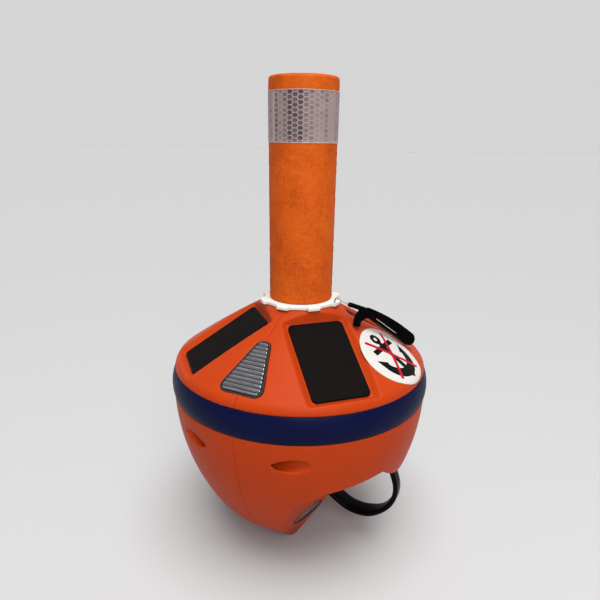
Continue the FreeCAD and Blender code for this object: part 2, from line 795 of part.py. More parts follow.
def lock_ring():
    bottom = "foot_top + 0.1"
    blank = turned("ring_blank", [
        ("mast_outer + 0.3", bottom),
        ("neck_bore - thread_gap", bottom),
        ("neck_bore - thread_gap", "ring_bottom"),
        ("ring_tip", "ring_bottom"),
        ("ring_tip", "ring_top"),
        ("mast_outer + 0.3", "ring_top"),
    ])
    cuts = []
    teeth = int(size("ring_teeth"))
    reach = size("ring_root") + size("scallop_radius")
    for index in range(teeth):
        angle = math.radians((index + 0.5) * 360.0 / teeth)
        foot = Vector(reach * math.cos(angle), reach * math.sin(angle), size("ring_bottom") - 2)
        cuts.append(cylinder(f"scallop{index}", "scallop_radius", "10", Placement(foot, Rotation())))
    node(cut_all("ring_solid", blank, cuts), "lock_ring")


def mast():
    spigot = "mast_inner - 0.1"
    node(turned("foot_body", [
        ("3.6", "neck_ledge"),
        ("foot_radius", "neck_ledge"),
        ("foot_radius", "foot_top"),
        (spigot, "foot_top"),
        (spigot, "foot_top + 20"),
        ("3.6", "foot_top + 20"),
    ]), "mast_foot")
    node(tube("mast_tube_solid", "mast_outer", "mast_inner", "foot_top", "556"), "mast_tube")
    node(turned("cap_body", [
        ("0", "546"),
        (spigot, "546"),
        (spigot, "556"),
        ("mast_outer", "556"),
        ("mast_outer", "559"),
        ("0", "559"),
    ]), "mast_cap")
    node(turned("foam_body", [
        ("mast_outer + 0.15", "foam_bottom"),
        ("foam_radius", "foam_bottom"),
        ("foam_radius", "foam_top - 3"),
        ("foam_radius - 3", "foam_top", "foam_radius - 0.88", "foam_top - 0.88"),
        ("0", "foam_top"),
        ("0", "560"),
        ("mast_outer + 0.15", "560"),
    ]), "foam_sleeve")
    node(tube("tape_solid", "foam_radius + 0.05 + tape_thick", "foam_radius + 0.05",
              "tape_bottom", "tape_bottom + tape_width"), "reflective_tape")
    plug = fuse("plug_solid", [disc("plug_body", "3.5", "neck_ledge", "foot_top + 20"),
                               disc("plug_pin", "2", "274", "neck_ledge + 1")])
    node(plug, "antenna_plug")
    node(disc("rod_solid", "2.5", "foot_top + 20", "520"), "antenna_rod")
    spacers = [tube(f"spacer{level}", spigot, "2.55", str(level), str(level + 6)) for level in (380, 470)]
    node(group("spacer_group", spacers), "antenna_spacers")
    node(disc("receiver_solid", "17", "537", "546"), "gnss_antenna")


# -------------------------------------------------------------------- grab loop

def polar(radius, degrees):
    """A point on a circle round the loop's centre, as a pair of expressions."""
    return (f"loop_x + ({radius}) * cos({degrees})", f"loop_z + ({radius}) * sin({degrees})")


def grab_loop():
    half = "loop_thick / 2"
    rims = {"outer": f"loop_radius + {half}", "inner": f"loop_radius - {half}"}
    start = "(270 - loop_fall_angle)"
    finish = "loop_end_angle"

    def beyond(rim, degrees, run, sense):
        x, z = polar(rims[rim], degrees)
        return (f"{x} - {sense} * ({run}) * sin({degrees})", f"{z} + {sense} * ({run}) * cos({degrees})")

    outline = [
        beyond("outer", start, "loop_foot_run", -1),
        polar(rims["outer"], start),
        polar(rims["outer"], finish) + polar(rims["outer"], "300"),
        beyond("outer", finish, "loop_head_run", 1),
        beyond("inner", finish, "loop_head_run", 1),
        polar(rims["inner"], finish),
        polar(rims["inner"], start) + polar(rims["inner"], "300"),
        beyond("inner", start, "loop_foot_run", -1),
    ]
    strap = padded("strap", outline, "loop_width", "XZ_Plane", midplane=True)
    taper = padded("strap_taper", [
        ("20", "loop_width / 2"),
        ("20", "-loop_width / 2"),
        ("108", "-loop_width / 2"),
        ("136", "-loop_tip_width / 2"),
        ("160", "-loop_tip_width / 2"),
        ("160", "loop_tip_width / 2"),
        ("136", "loop_tip_width / 2"),
        ("108", "loop_width / 2"),
    ], "200")
    holes = [loop_pin(f"strap_{end}_hole", end, "loop_pin_radius + 0.05") for end in ("foot", "head")]
    node(cut_all("loop_solid", common("loop_blank", [strap, taper]), holes), "grab_loop")
    pins = [loop_pin(f"loop_{end}_pin", end, "loop_pin_radius") for end in ("foot", "head")]
    node(group("loop_pin_group", pins), "loop_pins")


# ---------------------------------------------------------- tether and ring spanner

FERRULE_START = Vector(66.8, -11.5, 333.3)
SPANNER_HEEL = Vector(86.2, 1.3, 325.1)
SPANNER_EYE = Vector(129.4, 44.9, 285.2)
SPANNER_TIP = Vector(78.7, -16.3, 310.9)
CORD_ROUTE = [
    Vector(47.5, -5.0, 330.5),
    Vector(48.0, -6.6, 335.3),
    Vector(52.5, -11.0, 338.9),
    Vector(62.1, -14.6, 335.3),
    Vector(69.9, -9.4, 332.0),
]


def rod_between(label, start, end, radius):
    heading = end - start
    return cylinder(label, radius, str(round(heading.Length, 3)),
                    Placement(start, Rotation(Vector(0, 0, 1), heading)))


def tether():
    ferrule = rod_between("ferrule_blank", FERRULE_START, SPANNER_HEEL, "ferrule_radius")
    bore = rod_between("ferrule_bore", FERRULE_START, CORD_ROUTE[-1], "cord_radius + 0.05")
    node(cut("ferrule_solid", ferrule, bore), "cord_ferrule")
    cord_obj = doc.addObject("Part::Feature", "cord_tube")
    cord_obj.Shape = cord_tube(CORD_ROUTE, size("cord_radius"))
    node(cord_obj, "tether_cord")

    long_way = (SPANNER_EYE - SPANNER_HEEL).normalize()
    down = SPANNER_TIP - SPANNER_HEEL
    down = (down - long_way * down.dot(long_way)).normalize()
    frame = Placement(SPANNER_HEEL, Rotation(long_way, down, long_way.cross(down), "XYZ"))
    plate = padded("spanner_plate", [
        ("-1.5", "-2.8", "-10", "7"),
        ("72", "-4.5", "36", "-6.4"),
        ("72", "10.8", "80", "3.2"),
        ("12", "7.5"),
        ("-3", "18", "0.5", "11"),
        ("-9", "20", "-5.5", "24"),
    ], "spanner_thick", midplane=True)
    plate.Placement = frame
    slot_turn = Placement(Vector(), Rotation(Vector(0, 0, 1), 4))
    slot_at = shifted(frame, x=35.0, y=4.2, z=-10.0).multiply(slot_turn)
    slot = centred_box("spanner_slot", "40", "2.6", "20", slot_at)
    eye = cylinder("spanner_eye", "2", "20", shifted(frame, x=73.4, y=3.4, z=-10.0))
    nose = rod_between("spanner_socket", FERRULE_START, SPANNER_HEEL + long_way * 0.01, "ferrule_radius")
    node(cut_all("spanner_solid", plate, [slot, eye, nose]), "ring_spanner")


def cord_tube(route, radius):
    """A round tube along straight runs joined by tangent arcs, as large as the runs allow."""
    edges = []
    here = route[0]
    for before, corner, after in zip(route, route[1:], route[2:]):
        into = (corner - before).normalize()
        out = (after - corner).normalize()
        turn = math.acos(max(-1.0, min(1.0, into.dot(out))))
        setback = 0.45 * min((corner - before).Length, (after - corner).Length)
        bend = setback / math.tan(turn / 2)
        print("cord bend radius", round(bend, 1))
        start = corner - into * setback
        end = corner + out * setback
        centre_way = (out - into).normalize()
        middle = corner + centre_way * (bend / math.cos(turn / 2) - bend)
        edges.append(Part.LineSegment(here, start).toShape())
        edges.append(Part.Arc(start, middle, end).toShape())
        here = end
    edges.append(Part.LineSegment(here, route[-1]).toShape())
    path = Part.Wire(edges)
    heading = (route[1] - route[0]).normalize()
    ring = Part.Wire([Part.makeCircle(radius, route[0], heading)])
    solid = path.makePipeShell([ring], True, True)
    print("cord length", round(path.Length, 2), "volume ratio",
          round(solid.Volume / (math.pi * radius ** 2 * path.Length), 4))
    return solid


# ------------------------------------------------------------------ inside the hull

def ballast():
    top = "ballast_top"
    blank = turned("ballast_blank", [
        ("0", "ballast_bottom"),
        ("42", "ballast_bottom"),
        ("70", top),
        ("0", top),
    ])
    room = notch_space("ballast_room", 7.0)
    window_room = cylinder("window_room", "window_seat + 6", "40", window_frame(16.0))
    holes = [cylinder(f"stud_hole{index}", "3.05", "20", Placement(Vector(x, y, 36), Rotation()))
             for index, (x, y) in enumerate(stud_places()[:2])]
    feet = [disc(f"foot{index}", "7", "hull_wall", "ballast_bottom + 5", x, y)
            for index, (x, y) in enumerate(((-20.0, -24.0), (-20.0, 24.0), (-36.0, 0.0)))]
    cast = fuse("ballast_cast", [blank] + feet)
    node(cut_all("ballast_solid", cast, [room, window_room] + holes), "ballast_weight")


def stud_places():
    """Four studs round the battery pack, the two nearest the notch first."""
    reach = 47.0
    places = []
    for degrees in (30, 330, 150, 210):
        angle = math.radians(degrees)
        places.append((size("pack_x") + reach * math.cos(angle), reach * math.sin(angle)))
    return places


def battery_pack():
    base = size("ballast_top") + size("tray_thick")
    top = base + size("cell_height")
    cells_made = []
    for index in range(7):
        angle = math.radians(60 * index)
        reach = size("cell_ring") if index else 0.0
        cells_made.append(disc(f"cell{index}", "cell_radius", str(base), str(top),
                               size("pack_x") + reach * math.cos(angle), reach * math.sin(angle)))
    node(group("cell_group", cells_made), "battery_cells")
    tray = disc("tray_blank", "55", "ballast_top", str(base), size("pack_x"))
    clamp = disc("clamp_blank", "62", str(top), "pod_bottom", -20.0)
    studs = []
    tray_holes = []
    clamp_holes = []
    for index, (x, y) in enumerate(stud_places()):
        foot = "38" if index < 2 else "ballast_top"
        studs.append(disc(f"stud{index}", "3", foot, str(top + 3.0), x, y))
        tray_holes.append(disc(f"tray_hole{index}", "3.05", "40", str(base + 5.0), x, y))
        clamp_holes.append(disc(f"clamp_hole{index}", "3.05", str(top - 5.0), str(top + 3.1), x, y))
    node(cut_all("tray_solid", tray, tray_holes), "battery_tray")
    node(cut_all("clamp_solid", clamp, clamp_holes), "battery_clamp")
    node(group("stud_group", studs), "battery_studs")


def electronics_pod():
    inner = "pod_radius - pod_wall"
    node(turned("pod_body", [
        ("0", "pod_bottom"),
        ("pod_radius", "pod_bottom"),
        ("pod_radius", "pod_top"),
        (inner, "pod_top"),
        (inner, "pod_bottom + pod_wall"),
        ("0", "pod_bottom + pod_wall"),
    ]), "electronics_pod")
    node(tube("pod_ring", "pod_radius - 0.5", "pod_radius - 2.5", "pod_top", "pod_top + 1.5"), "pod_seal")
    node(turned("lid_body", [
        ("0", "pod_top + 1.5"),
        (inner + " - 5", "pod_top + 1.5"),
        (inner + " - 5", "pod_top - 9"),
        (inner + " - 0.3", "pod_top - 9"),
        (inner + " - 0.3", "pod_top + 1.5"),
        ("pod_radius", "pod_top + 1.5"),
        ("pod_radius", "pod_top + 5.5"),
        ("0", "pod_top + 5.5"),
    ]), "pod_lid")
    floor = size("pod_bottom") + size("pod_wall")
    board_at = Placement(Vector(0, 6.0, floor + 6.0), Rotation())
    board = centred_box("main_board_solid", "92", "1.6", "76", board_at)
    node(board, "main_board")
    carrier = fuse("carrier_blank", [
        disc("carrier_disc", "50", str(floor), str(floor + 4.0)),
        centred_box("carrier_left", "8", "10", "78", Placement(Vector(-45, 6, floor), Rotation())),
        centred_box("carrier_right", "8", "10", "78", Placement(Vector(45, 6, floor), Rotation())),
    ])
    slot = centred_box("carrier_slot", "92.2", "1.7", "90", Placement(Vector(0, 6, floor + 5.9), Rotation()))
    node(cut("carrier_solid", carrier, slot), "board_carrier")
    modules = (("radio_module", -18.0, -2.8 + 6.0 - 0.8, "34", "5.6", "44", 24.0),
               ("charge_controller", 0.0, 6.0 + 0.8 + 4.0, "48", "8", "34", 14.0))
    for name, x, y, long_side, deep, tall, lift in modules:
        at = Placement(Vector(x, y, floor + 6.0 + lift), Rotation())
        node(centred_box(name + "_solid", long_side, deep, tall, at), name)
    top = size("pod_top") + 5.5
    gland = tube("gland_body", "6", "1.45", str(top), str(top + 8.0))
    node(gland, "lead_gland")
    node(disc("lead_body", "1.4", str(top), "262"), "antenna_lead")


hull()
seam_seal()
fender_band()
solar_panels()
signal_lights()
clamp_bolts()
sign_disc()
service_window()
neck()
lock_ring()
mast()
grab_loop()
tether()
ballast()
battery_pack()
electronics_pod()
doc.recompute()

faults = []
for obj in doc.Objects:
    if "Invalid" in obj.State or "Error" in obj.State:
        faults.append(f"{obj.Name}: {obj.State}")
for obj in NODES:
    if obj.Shape.isNull() or not obj.Shape.isValid() or not obj.Shape.Solids:
        faults.append(f"{obj.Label}: bad shape")
if faults:
    raise SystemExit("\n".join(faults))

os.makedirs("parts", exist_ok=True)
for obj in NODES:
    obj.Shape.exportStep(f"parts/{obj.Label}.step")
    print(f"{obj.Label:26s} solids {len(obj.Shape.Solids):2d}  volume {obj.Shape.Volume / 1000:8.1f} cm3")
print(len(NODES), "nodes")
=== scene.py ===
"""Looks of the emergency position beacon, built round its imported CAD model.

Lengths are in millimetres and become metres where a mesh is made. The base stands
on Z = 0, the hull's seam lies in X = 0, and azimuths turn from -Y towards +X.
"""
import json
import math
import random

import bmesh
import bpy
import numpy as np
from mathutils import Matrix, Vector


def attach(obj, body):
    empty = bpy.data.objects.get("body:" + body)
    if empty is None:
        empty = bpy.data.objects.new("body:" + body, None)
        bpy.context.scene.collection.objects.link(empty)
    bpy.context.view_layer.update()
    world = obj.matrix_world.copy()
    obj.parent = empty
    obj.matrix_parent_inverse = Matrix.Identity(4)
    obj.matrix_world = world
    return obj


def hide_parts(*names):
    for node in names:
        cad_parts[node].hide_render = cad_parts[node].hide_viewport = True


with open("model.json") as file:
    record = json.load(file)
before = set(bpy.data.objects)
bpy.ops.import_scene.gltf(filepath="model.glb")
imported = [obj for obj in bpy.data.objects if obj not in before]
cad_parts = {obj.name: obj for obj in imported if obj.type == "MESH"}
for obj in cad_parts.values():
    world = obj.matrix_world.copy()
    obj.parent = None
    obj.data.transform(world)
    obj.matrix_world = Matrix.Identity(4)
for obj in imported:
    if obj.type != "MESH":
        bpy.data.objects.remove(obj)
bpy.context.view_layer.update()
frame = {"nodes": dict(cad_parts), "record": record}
NODES = frame["nodes"]
MM = 0.001
TAU = 2 * math.pi


# ------------------------------------------------------------------------ camera

CAMERA_PLACE = Vector((268.34, -549.86, 506.67))
CAMERA_FORWARD = Vector((-0.40425, 0.82884, -0.38678))
CAMERA_RIGHT = Vector((0.89879, 0.43837, 0.0))
CAMERA_UP = Vector((-0.16955, 0.34764, 0.92217))
CAMERA_ROLL = -0.01498


def make_camera():
    """A camera to the front right, as high as the mast, that looks down at the hull."""
    data = bpy.data.cameras.new("camera")
    data.sensor_width = 36.0
    data.lens = 30.72
    data.shift_y = 0.0936
    data.clip_start = 0.01
    camera = bpy.data.objects.new("camera", data)
    bpy.context.scene.collection.objects.link(camera)
    roll = Matrix.Rotation(CAMERA_ROLL, 3, CAMERA_FORWARD)
    turn = Matrix((roll @ CAMERA_RIGHT, roll @ CAMERA_UP, -CAMERA_FORWARD)).transposed()
    camera.matrix_world = Matrix.Translation(CAMERA_PLACE * MM) @ turn.to_4x4()
    bpy.context.scene.camera = camera


make_camera()


# --------------------------------------------------------------------- materials

def shader(name, base, rough, metallic=0.0, specular=0.5, **sockets):
    """A new material and its tree, with the uniform values set on the shader itself."""
    material = bpy.data.materials.new(name)
    material.use_nodes = True
    tree = material.node_tree
    bsdf = tree.nodes["Principled BSDF"]
    bsdf.inputs["Base Color"].default_value = (*base, 1)
    bsdf.inputs["Roughness"].default_value = rough
    bsdf.inputs["Metallic"].default_value = metallic
    bsdf.inputs["Specular IOR Level"].default_value = specular
    for key, value in sockets.items():
        bsdf.inputs[key.replace("_", " ")].default_value = value
    return material, tree, bsdf


def linear(hex_colour):
    """The shader's linear colour of an sRGB code."""
    out = []
    for start in (0, 2, 4):
        c = int(hex_colour[start:start + 2], 16) / 255
        out.append(c / 12.92 if c <= 0.04045 else ((c + 0.055) / 1.055) ** 2.4)
    return out


def noise(tree, scale, detail=2.0, rough=0.5, stretch=None):
    """Noise fixed to the object, from 0 to 1, with stretch as its scale along each axis."""
    coords = tree.nodes.new("ShaderNodeTexCoord")
    texture = tree.nodes.new("ShaderNodeTexNoise")
    texture.inputs["Scale"].default_value = scale
    texture.inputs["Detail"].default_value = detail
    texture.inputs["Roughness"].default_value = rough
    source = coords.outputs["Object"]
    if stretch:
        mapping = tree.nodes.new("ShaderNodeMapping")
        mapping.inputs["Scale"].default_value = stretch
        tree.links.new(source, mapping.inputs["Vector"])
        source = mapping.outputs["Vector"]
    tree.links.new(source, texture.inputs["Vector"])
    return texture.outputs["Fac"]


def ramp(tree, factor, stops):
    """A colour ramp from (position, linear colour) stops."""
    node = tree.nodes.new("ShaderNodeValToRGB")
    elements = node.color_ramp.elements
    while len(elements) < len(stops):
        elements.new(0.5)
    for element, (position, colour) in zip(elements, stops):
        element.position = position
        element.color = (*colour, 1)
    tree.links.new(factor, node.inputs["Fac"])
    return node.outputs["Color"]


def spread(tree, factor, low, high):
    """Spread the middle of a noise over the values from low to high."""
    node = tree.nodes.new("ShaderNodeMapRange")
    node.inputs["From Min"].default_value = 0.3
    node.inputs["From Max"].default_value = 0.7
    node.inputs["To Min"].default_value = low
    node.inputs["To Max"].default_value = high
    tree.links.new(factor, node.inputs["Value"])
    return node.outputs["Result"]


def bump(tree, bsdf, height, strength, distance):
    node = tree.nodes.new("ShaderNodeBump")
    node.inputs["Strength"].default_value = strength
    node.inputs["Distance"].default_value = distance
    tree.links.new(height, node.inputs["Height"])
    tree.links.new(node.outputs["Normal"], bsdf.inputs["Normal"])


def moulded_material(name, colour, rough, tone=0.06, grain=1400, depth=0.00006, **more):
    """Moulded plastic or rubber: slow colour drift, uneven gloss and a fine grain."""
    base = linear(colour)
    material, tree, bsdf = shader(name, base, rough, **more)
    slow = noise(tree, 14, detail=4, rough=0.6)
    darker = [c * (1 - tone) for c in base]
    lighter = [min(1, c * (1 + tone)) for c in base]
    tree.links.new(ramp(tree, slow, [(0.3, darker), (0.7, lighter)]), bsdf.inputs["Base Color"])
    gloss = noise(tree, 126, detail=5, rough=0.7)
    tree.links.new(spread(tree, gloss, rough - 0.05, rough + 0.06), bsdf.inputs["Roughness"])
    bump(tree, bsdf, noise(tree, grain, detail=2), 0.35, depth)
    return material


def metal_material(name, colour, rough, stretch=(1, 1, 18)):
    """Brushed metal, whose gloss and tone change in streaks."""
    base = linear(colour)
    material, tree, bsdf = shader(name, base, rough, metallic=1.0)
    streaks = noise(tree, 160, detail=5, rough=0.7, stretch=stretch)
    tree.links.new(spread(tree, streaks, rough - 0.08, rough + 0.1), bsdf.inputs["Roughness"])
    tones = ramp(tree, streaks, [(0.3, [c * 0.9 for c in base]), (0.7, base)])
    tree.links.new(tones, bsdf.inputs["Base Color"])
    bump(tree, bsdf, streaks, 0.15, 0.00004)
    return material


def foam_material():
    """Skinned foam: a fine pebble of closed cells and a mottled colour."""
    material, tree, bsdf = shader("foam", linear("C5530D"), 0.7, specular=0.12)
    slow = noise(tree, 30, detail=6, rough=0.65)
    fleck = noise(tree, 420, detail=3, rough=0.6)
    mix = tree.nodes.new("ShaderNodeMix")
    mix.data_type = "FLOAT"
    mix.inputs["Factor"].default_value = 0.45
    tree.links.new(slow, mix.inputs["A"])
    tree.links.new(fleck, mix.inputs["B"])
    stops = [(0.34, linear("AA420C")), (0.5, linear("C5530D")), (0.66, linear("CB5E16"))]
    tree.links.new(ramp(tree, mix.outputs["Result"], stops), bsdf.inputs["Base Color"])
    cells = tree.nodes.new("ShaderNodeTexVoronoi")
    cells.inputs["Scale"].default_value = 520
    coords = tree.nodes.new("ShaderNodeTexCoord")
    tree.links.new(coords.outputs["Object"], cells.inputs["Vector"])
    bump(tree, bsdf, cells.outputs["Distance"], 0.5, 0.00022)
    return material


def tape_cell_material():
    """Cells of the reflective sheet: their tone holds a painted shade that is deepest on one side of the
    mast, and changes at random from column to column.
    """
    material, tree, bsdf = shader("tape_cells", linear("756564"), 0.4, specular=0.25)
    # The tone attribute carries the painted shade together with the random change.
    tone = tree.nodes.new("ShaderNodeAttribute")
    tone.attribute_name = "tone"
    stops = [(0.0, linear("4A3F41")), (0.5, linear("746463")), (1.0, linear("948280"))]
    tree.links.new(ramp(tree, tone.outputs["Fac"], stops), bsdf.inputs["Base Color"])
    bump(tree, bsdf, noise(tree, 900, detail=2), 0.2, 0.00005)
    return material


def panel_material():
    """A solar panel's face: near black, faintly brown, with a fine cloth-like grain."""
    material, tree, bsdf = shader("panel_face", linear("0D0908"), 0.6, specular=0.03)
    weave = noise(tree, 700, detail=4, rough=0.7)
    stops = [(0.35, linear("080606")), (0.6, linear("110D0C")), (0.8, linear("1C1613"))]
    tree.links.new(ramp(tree, weave, stops), bsdf.inputs["Base Color"])
    tree.links.new(spread(tree, noise(tree, 500, detail=3), 0.5, 0.66), bsdf.inputs["Roughness"])
    bump(tree, bsdf, weave, 0.3, 0.00006)
    return material


def clear_material(name, colour, rough, transmission, index=1.49, specular=0.6):
    """Clear plastic with a slight haze, and index as its refractive index."""
    material, tree, bsdf = shader(name, linear(colour), rough, specular=specular,
                                  Transmission_Weight=transmission, IOR=index)
    haze = noise(tree, 60, detail=4)
    tree.links.new(spread(tree, haze, rough, rough + 0.05), bsdf.inputs["Roughness"])
    bump(tree, bsdf, noise(tree, 500), 0.08, 0.00003)
    return material


def board_material():
    """Green board with paler traces."""
    material, tree, bsdf = shader("circuit_board", linear("1E5B35"), 0.4)
    traces = noise(tree, 260, detail=1, stretch=(1, 6, 1))
    stops = [(0.45, linear("174A2A")), (0.55, linear("2B7344"))]
    tree.links.new(ramp(tree, traces, stops), bsdf.inputs["Base Color"])
    bump(tree, bsdf, traces, 0.2, 0.00005)
    return material


HULL = moulded_material("hull_plastic", "AA370D", 0.43, tone=0.035, grain=1100, depth=0.00005, specular=0.07)
BAND = moulded_material("band_rubber", "080D30", 0.42, tone=0.1, grain=1600, depth=0.00004, specular=0.06)
SEAL = moulded_material("seal_rubber", "171719", 0.55, tone=0.12)
SEAM = moulded_material("seam_rubber", "5A1410", 0.6, tone=0.12)
PANEL = panel_material()
PANEL_RIM = moulded_material("panel_rim", "060505", 0.4, tone=0.1, specular=0.04)
LENS = clear_material("lens_clear", "E4E2E4", 0.1, 0.75)
# The clear lens is drawn as two materials: silver metal on the rib crests as a painted highlight, and
# near-black plastic in the troughs as painted shade, which also serves for its rim and back.
RIB_HIGHLIGHT = metal_material("lens_ribs", "A5A3A6", 0.28, stretch=(0.4, 3, 3))
RIB_SHADE_AND_RIM = moulded_material("lens_shade_and_rim", "241B1A", 0.35, tone=0.15)
WINDOW = clear_material("window_clear", "D8DCDA", 0.03, 1.0, index=1.12, specular=0.5)
WHITE = moulded_material("white_plastic", "DEDAD2", 0.42, tone=0.02, grain=900)
SIGN = moulded_material("sign_white", "C2BEB9", 0.45, tone=0.02, grain=900, specular=0.2)
SIGN_BLACK = moulded_material("sign_black", "060607", 0.45, tone=0.1, specular=0.08)
SIGN_RED = moulded_material("sign_red", "A3101F", 0.45, tone=0.05, specular=0.1)
FOAM = foam_material()
TAPE_LINES = moulded_material("tape_lines", "A08E8C", 0.45, tone=0.06, grain=1800, specular=0.25)
TAPE_EDGE = moulded_material("tape_edge", "B8A8A6", 0.4, tone=0.04, grain=1800)
TAPE_CELLS = tape_cell_material()
TOOL = moulded_material("tool_plastic", "030303", 0.3, tone=0.15, grain=1500, specular=0.05)
LOOP = moulded_material("loop_rubber", "020207", 0.34, tone=0.15, grain=1500, specular=0.06)
CORD = moulded_material("tether_fibre", "A5A39E", 0.5, tone=0.2, grain=2500, depth=0.0001)
STEEL = metal_material("stainless", "B9BBBE", 0.3)
INNER = moulded_material("inner_plastic", "3A3B3F", 0.55)
BOARD = board_material()
BRASS = metal_material("brass_contact", "B68A3C", 0.32)
IRON = moulded_material("ballast_iron", "3C3D40", 0.6, tone=0.2, grain=500, depth=0.0003, metallic=0.6)
CELLS = moulded_material("cell_sleeve", "2E5E8C", 0.35)
CAN = metal_material("radio_can", "A8ABAF", 0.3)
LAMP = moulded_material("lamp_white", "D9D7CF", 0.35)

BY_SLOT = {
    "hull_plastic": HULL, "band_rubber": BAND, "seal_rubber": SEAL, "panel_glass": PANEL,
    "lens_clear": LENS, "white_plastic": WHITE, "tool_plastic": TOOL, "sign_plastic": SIGN,
    "foam_cover": FOAM, "reflective_sheet": TAPE_LINES, "loop_rubber": LOOP, "stainless": STEEL,
    "inner_plastic": INNER, "circuit_board": BOARD, "brass_contact": BRASS, "tether_fibre": CORD,
    "ballast_iron": IRON, "cell_sleeve": CELLS, "radio_can": CAN,
}


# ----------------------------------------------------------------- mesh helpers

def new_mesh(name, points, faces):
    """An object from points in millimetres."""
    mesh = bpy.data.meshes.new(name)
    mesh.from_pydata([[c * MM for c in p] for p in points], [], faces)
    mesh.validate()
    return new_object(name, mesh)


def new_object(name, data):
    obj = bpy.data.objects.new(name, data)
    bpy.context.scene.collection.objects.link(obj)
    return obj


def shade(obj, angle):
    """Turn the faces outward and shade them smooth, but for edges bent past the angle."""
    mesh = obj.data
    work = bmesh.new()
    work.from_mesh(mesh)
    bmesh.ops.recalc_face_normals(work, faces=work.faces)
    limit = math.radians(angle)
    for face in work.faces:
        face.smooth = True
    for edge in work.edges:
        edge.smooth = len(edge.link_faces) != 2 or edge.calc_face_angle(0) < limit
    work.to_mesh(mesh)
    work.free()


def applied(obj):
    """Replace an object's mesh by the result of its modifiers."""
    view = bpy.context.evaluated_depsgraph_get()
    mesh = bpy.data.meshes.new_from_object(obj.evaluated_get(view))
    obj.modifiers.clear()
    obj.data = mesh
    return obj


def read_points(mesh):
    """A mesh's points as rows of millimetres."""
    co = np.zeros(len(mesh.vertices) * 3)
    mesh.vertices.foreach_get("co", co)
    return co.reshape(-1, 3) / MM


def write_points(mesh, co):
    mesh.vertices.foreach_set("co", (co * MM).ravel())
    mesh.update()


def piece(obj, body, slot, material, *replaced):
    """Finish a piece: its material, its body, and the CAD nodes it stands for, which it hides; the slot is
    not used.
    """
    obj.data.materials.clear()
    obj.data.materials.append(material)
    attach(obj, body)
    if replaced:
        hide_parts(*replaced)
    return obj


def fillet(outline, radii, steps):
    """A closed outline with each corner rounded by its own radius."""
    out = []
    count = len(outline)
    for index in range(count):
        corner = Vector(outline[index])
        radius = radii[index] if isinstance(radii, (list, tuple)) else radii
        before = Vector(outline[index - 1]) - corner
        after = Vector(outline[(index + 1) % count]) - corner
        if radius <= 0:
            out.append(tuple(corner))
            continue
        angle = before.angle(after)
        reach = min(radius / math.tan(angle / 2), 0.49 * before.length, 0.49 * after.length)
        radius = reach * math.tan(angle / 2)
        before.normalize()
        after.normalize()
        centre = corner + (before + after).normalized() * (radius / math.sin(angle / 2))
        start = corner + before * reach - centre
        end = corner + after * reach - centre
        sweep = start.angle_signed(end)
        for step in range(steps + 1):
            turn = -sweep * step / steps
            c, s = math.cos(turn), math.sin(turn)
            out.append((centre.x + c * start.x - s * start.y, centre.y + s * start.x + c * start.y))
    return out


def closed_grid(steps, rows):
    """Faces of a grid that closes on itself both ways, its points listed step by step."""
    faces = []
    for step in range(steps):
        here = step * rows
        there = (step + 1) % steps * rows
        for row in range(rows):
            after = (row + 1) % rows
            faces.append((here + row, there + row, there + after, here + after))
    return faces


def lathe(name, outline, steps, placement=None):
    """A closed profile of (radius, height) turned about Z, or about a placement's Z."""
    points = []
    for step in range(steps):
        angle = TAU * step / steps
        for radius, height in outline:
            points.append((radius * math.cos(angle), radius * math.sin(angle), height))
    if placement is not None:
        points = [placement @ Vector(p) for p in points]
    obj = new_mesh(name, points, closed_grid(steps, len(outline)))
    work = bmesh.new()
    work.from_mesh(obj.data)
    bmesh.ops.remove_doubles(work, verts=work.verts, dist=1e-6)
    bmesh.ops.dissolve_degenerate(work, edges=work.edges, dist=1e-7)
    work.to_mesh(obj.data)
    work.free()
    return obj


def loops_to_mesh(name, loops, placement=None):
    """Skin between closed loops of the same length, capped at both ends."""
    count = len(loops[0])
    points = [p for loop in loops for p in loop]
    faces = []
    for row in range(len(loops) - 1):
        for index in range(count):
            after = (index + 1) % count
            faces.append((row * count + index, row * count + after,
                          (row + 1) * count + after, (row + 1) * count + index))
    faces.append(tuple(reversed(range(count))))
    last = (len(loops) - 1) * count
    faces.append(tuple(range(last, last + count)))
    if placement is not None:
        points = [placement @ Vector(p) for p in points]
    return new_mesh(name, points, faces)


def on_cone(azimuth, reach, height, tilt):
    """Matrix of a place on the upper hull: X along the hull, Y up the slope, Z outward."""
    angle = math.radians(azimuth)
    base = Vector((reach * math.sin(angle), -reach * math.cos(angle), height))
    turn = Matrix.Rotation(angle, 4, "Z") @ Matrix.Rotation(math.radians(tilt), 4, "X")
    return Matrix.Translation(base) @ turn


def bevelled(node, name, width, body, slot, material, segments):
    """A CAD node's copy with its flat faces merged and its edges rounded."""
    mesh = NODES[node].data.copy()
    obj = new_object(name, mesh)
    work = bmesh.new()
    work.from_mesh(mesh)
    bmesh.ops.remove_doubles(work, verts=work.verts, dist=2e-6)
    bmesh.ops.dissolve_limit(work, angle_limit=math.radians(1.0), verts=work.verts, edges=work.edges)
    work.to_mesh(mesh)
    work.free()
    cut = obj.modifiers.new("bevel", "BEVEL")
    cut.width = width * MM
    cut.segments = segments
    cut.limit_method = "ANGLE"
    cut.angle_limit = math.radians(30)
    cut.use_clamp_overlap = True
    applied(obj)
    shade(obj, 40)
    return piece(obj, body, slot, material, node)


# ------------------------------------------------------------------------- hull

GROOVE_FOOT = 216.0
GROOVE_TOP = 248.3
SHOULDER_TOP = (151.7, 259.5)
CROWN_EDGE = (45.0, 325.5)
BASE_RADIUS = 50.0
BASE_CONE = Vector((62.4, 61.0)).normalized()
SNAP_REACH = 0.22
WINDOW_SEAT = 23.5


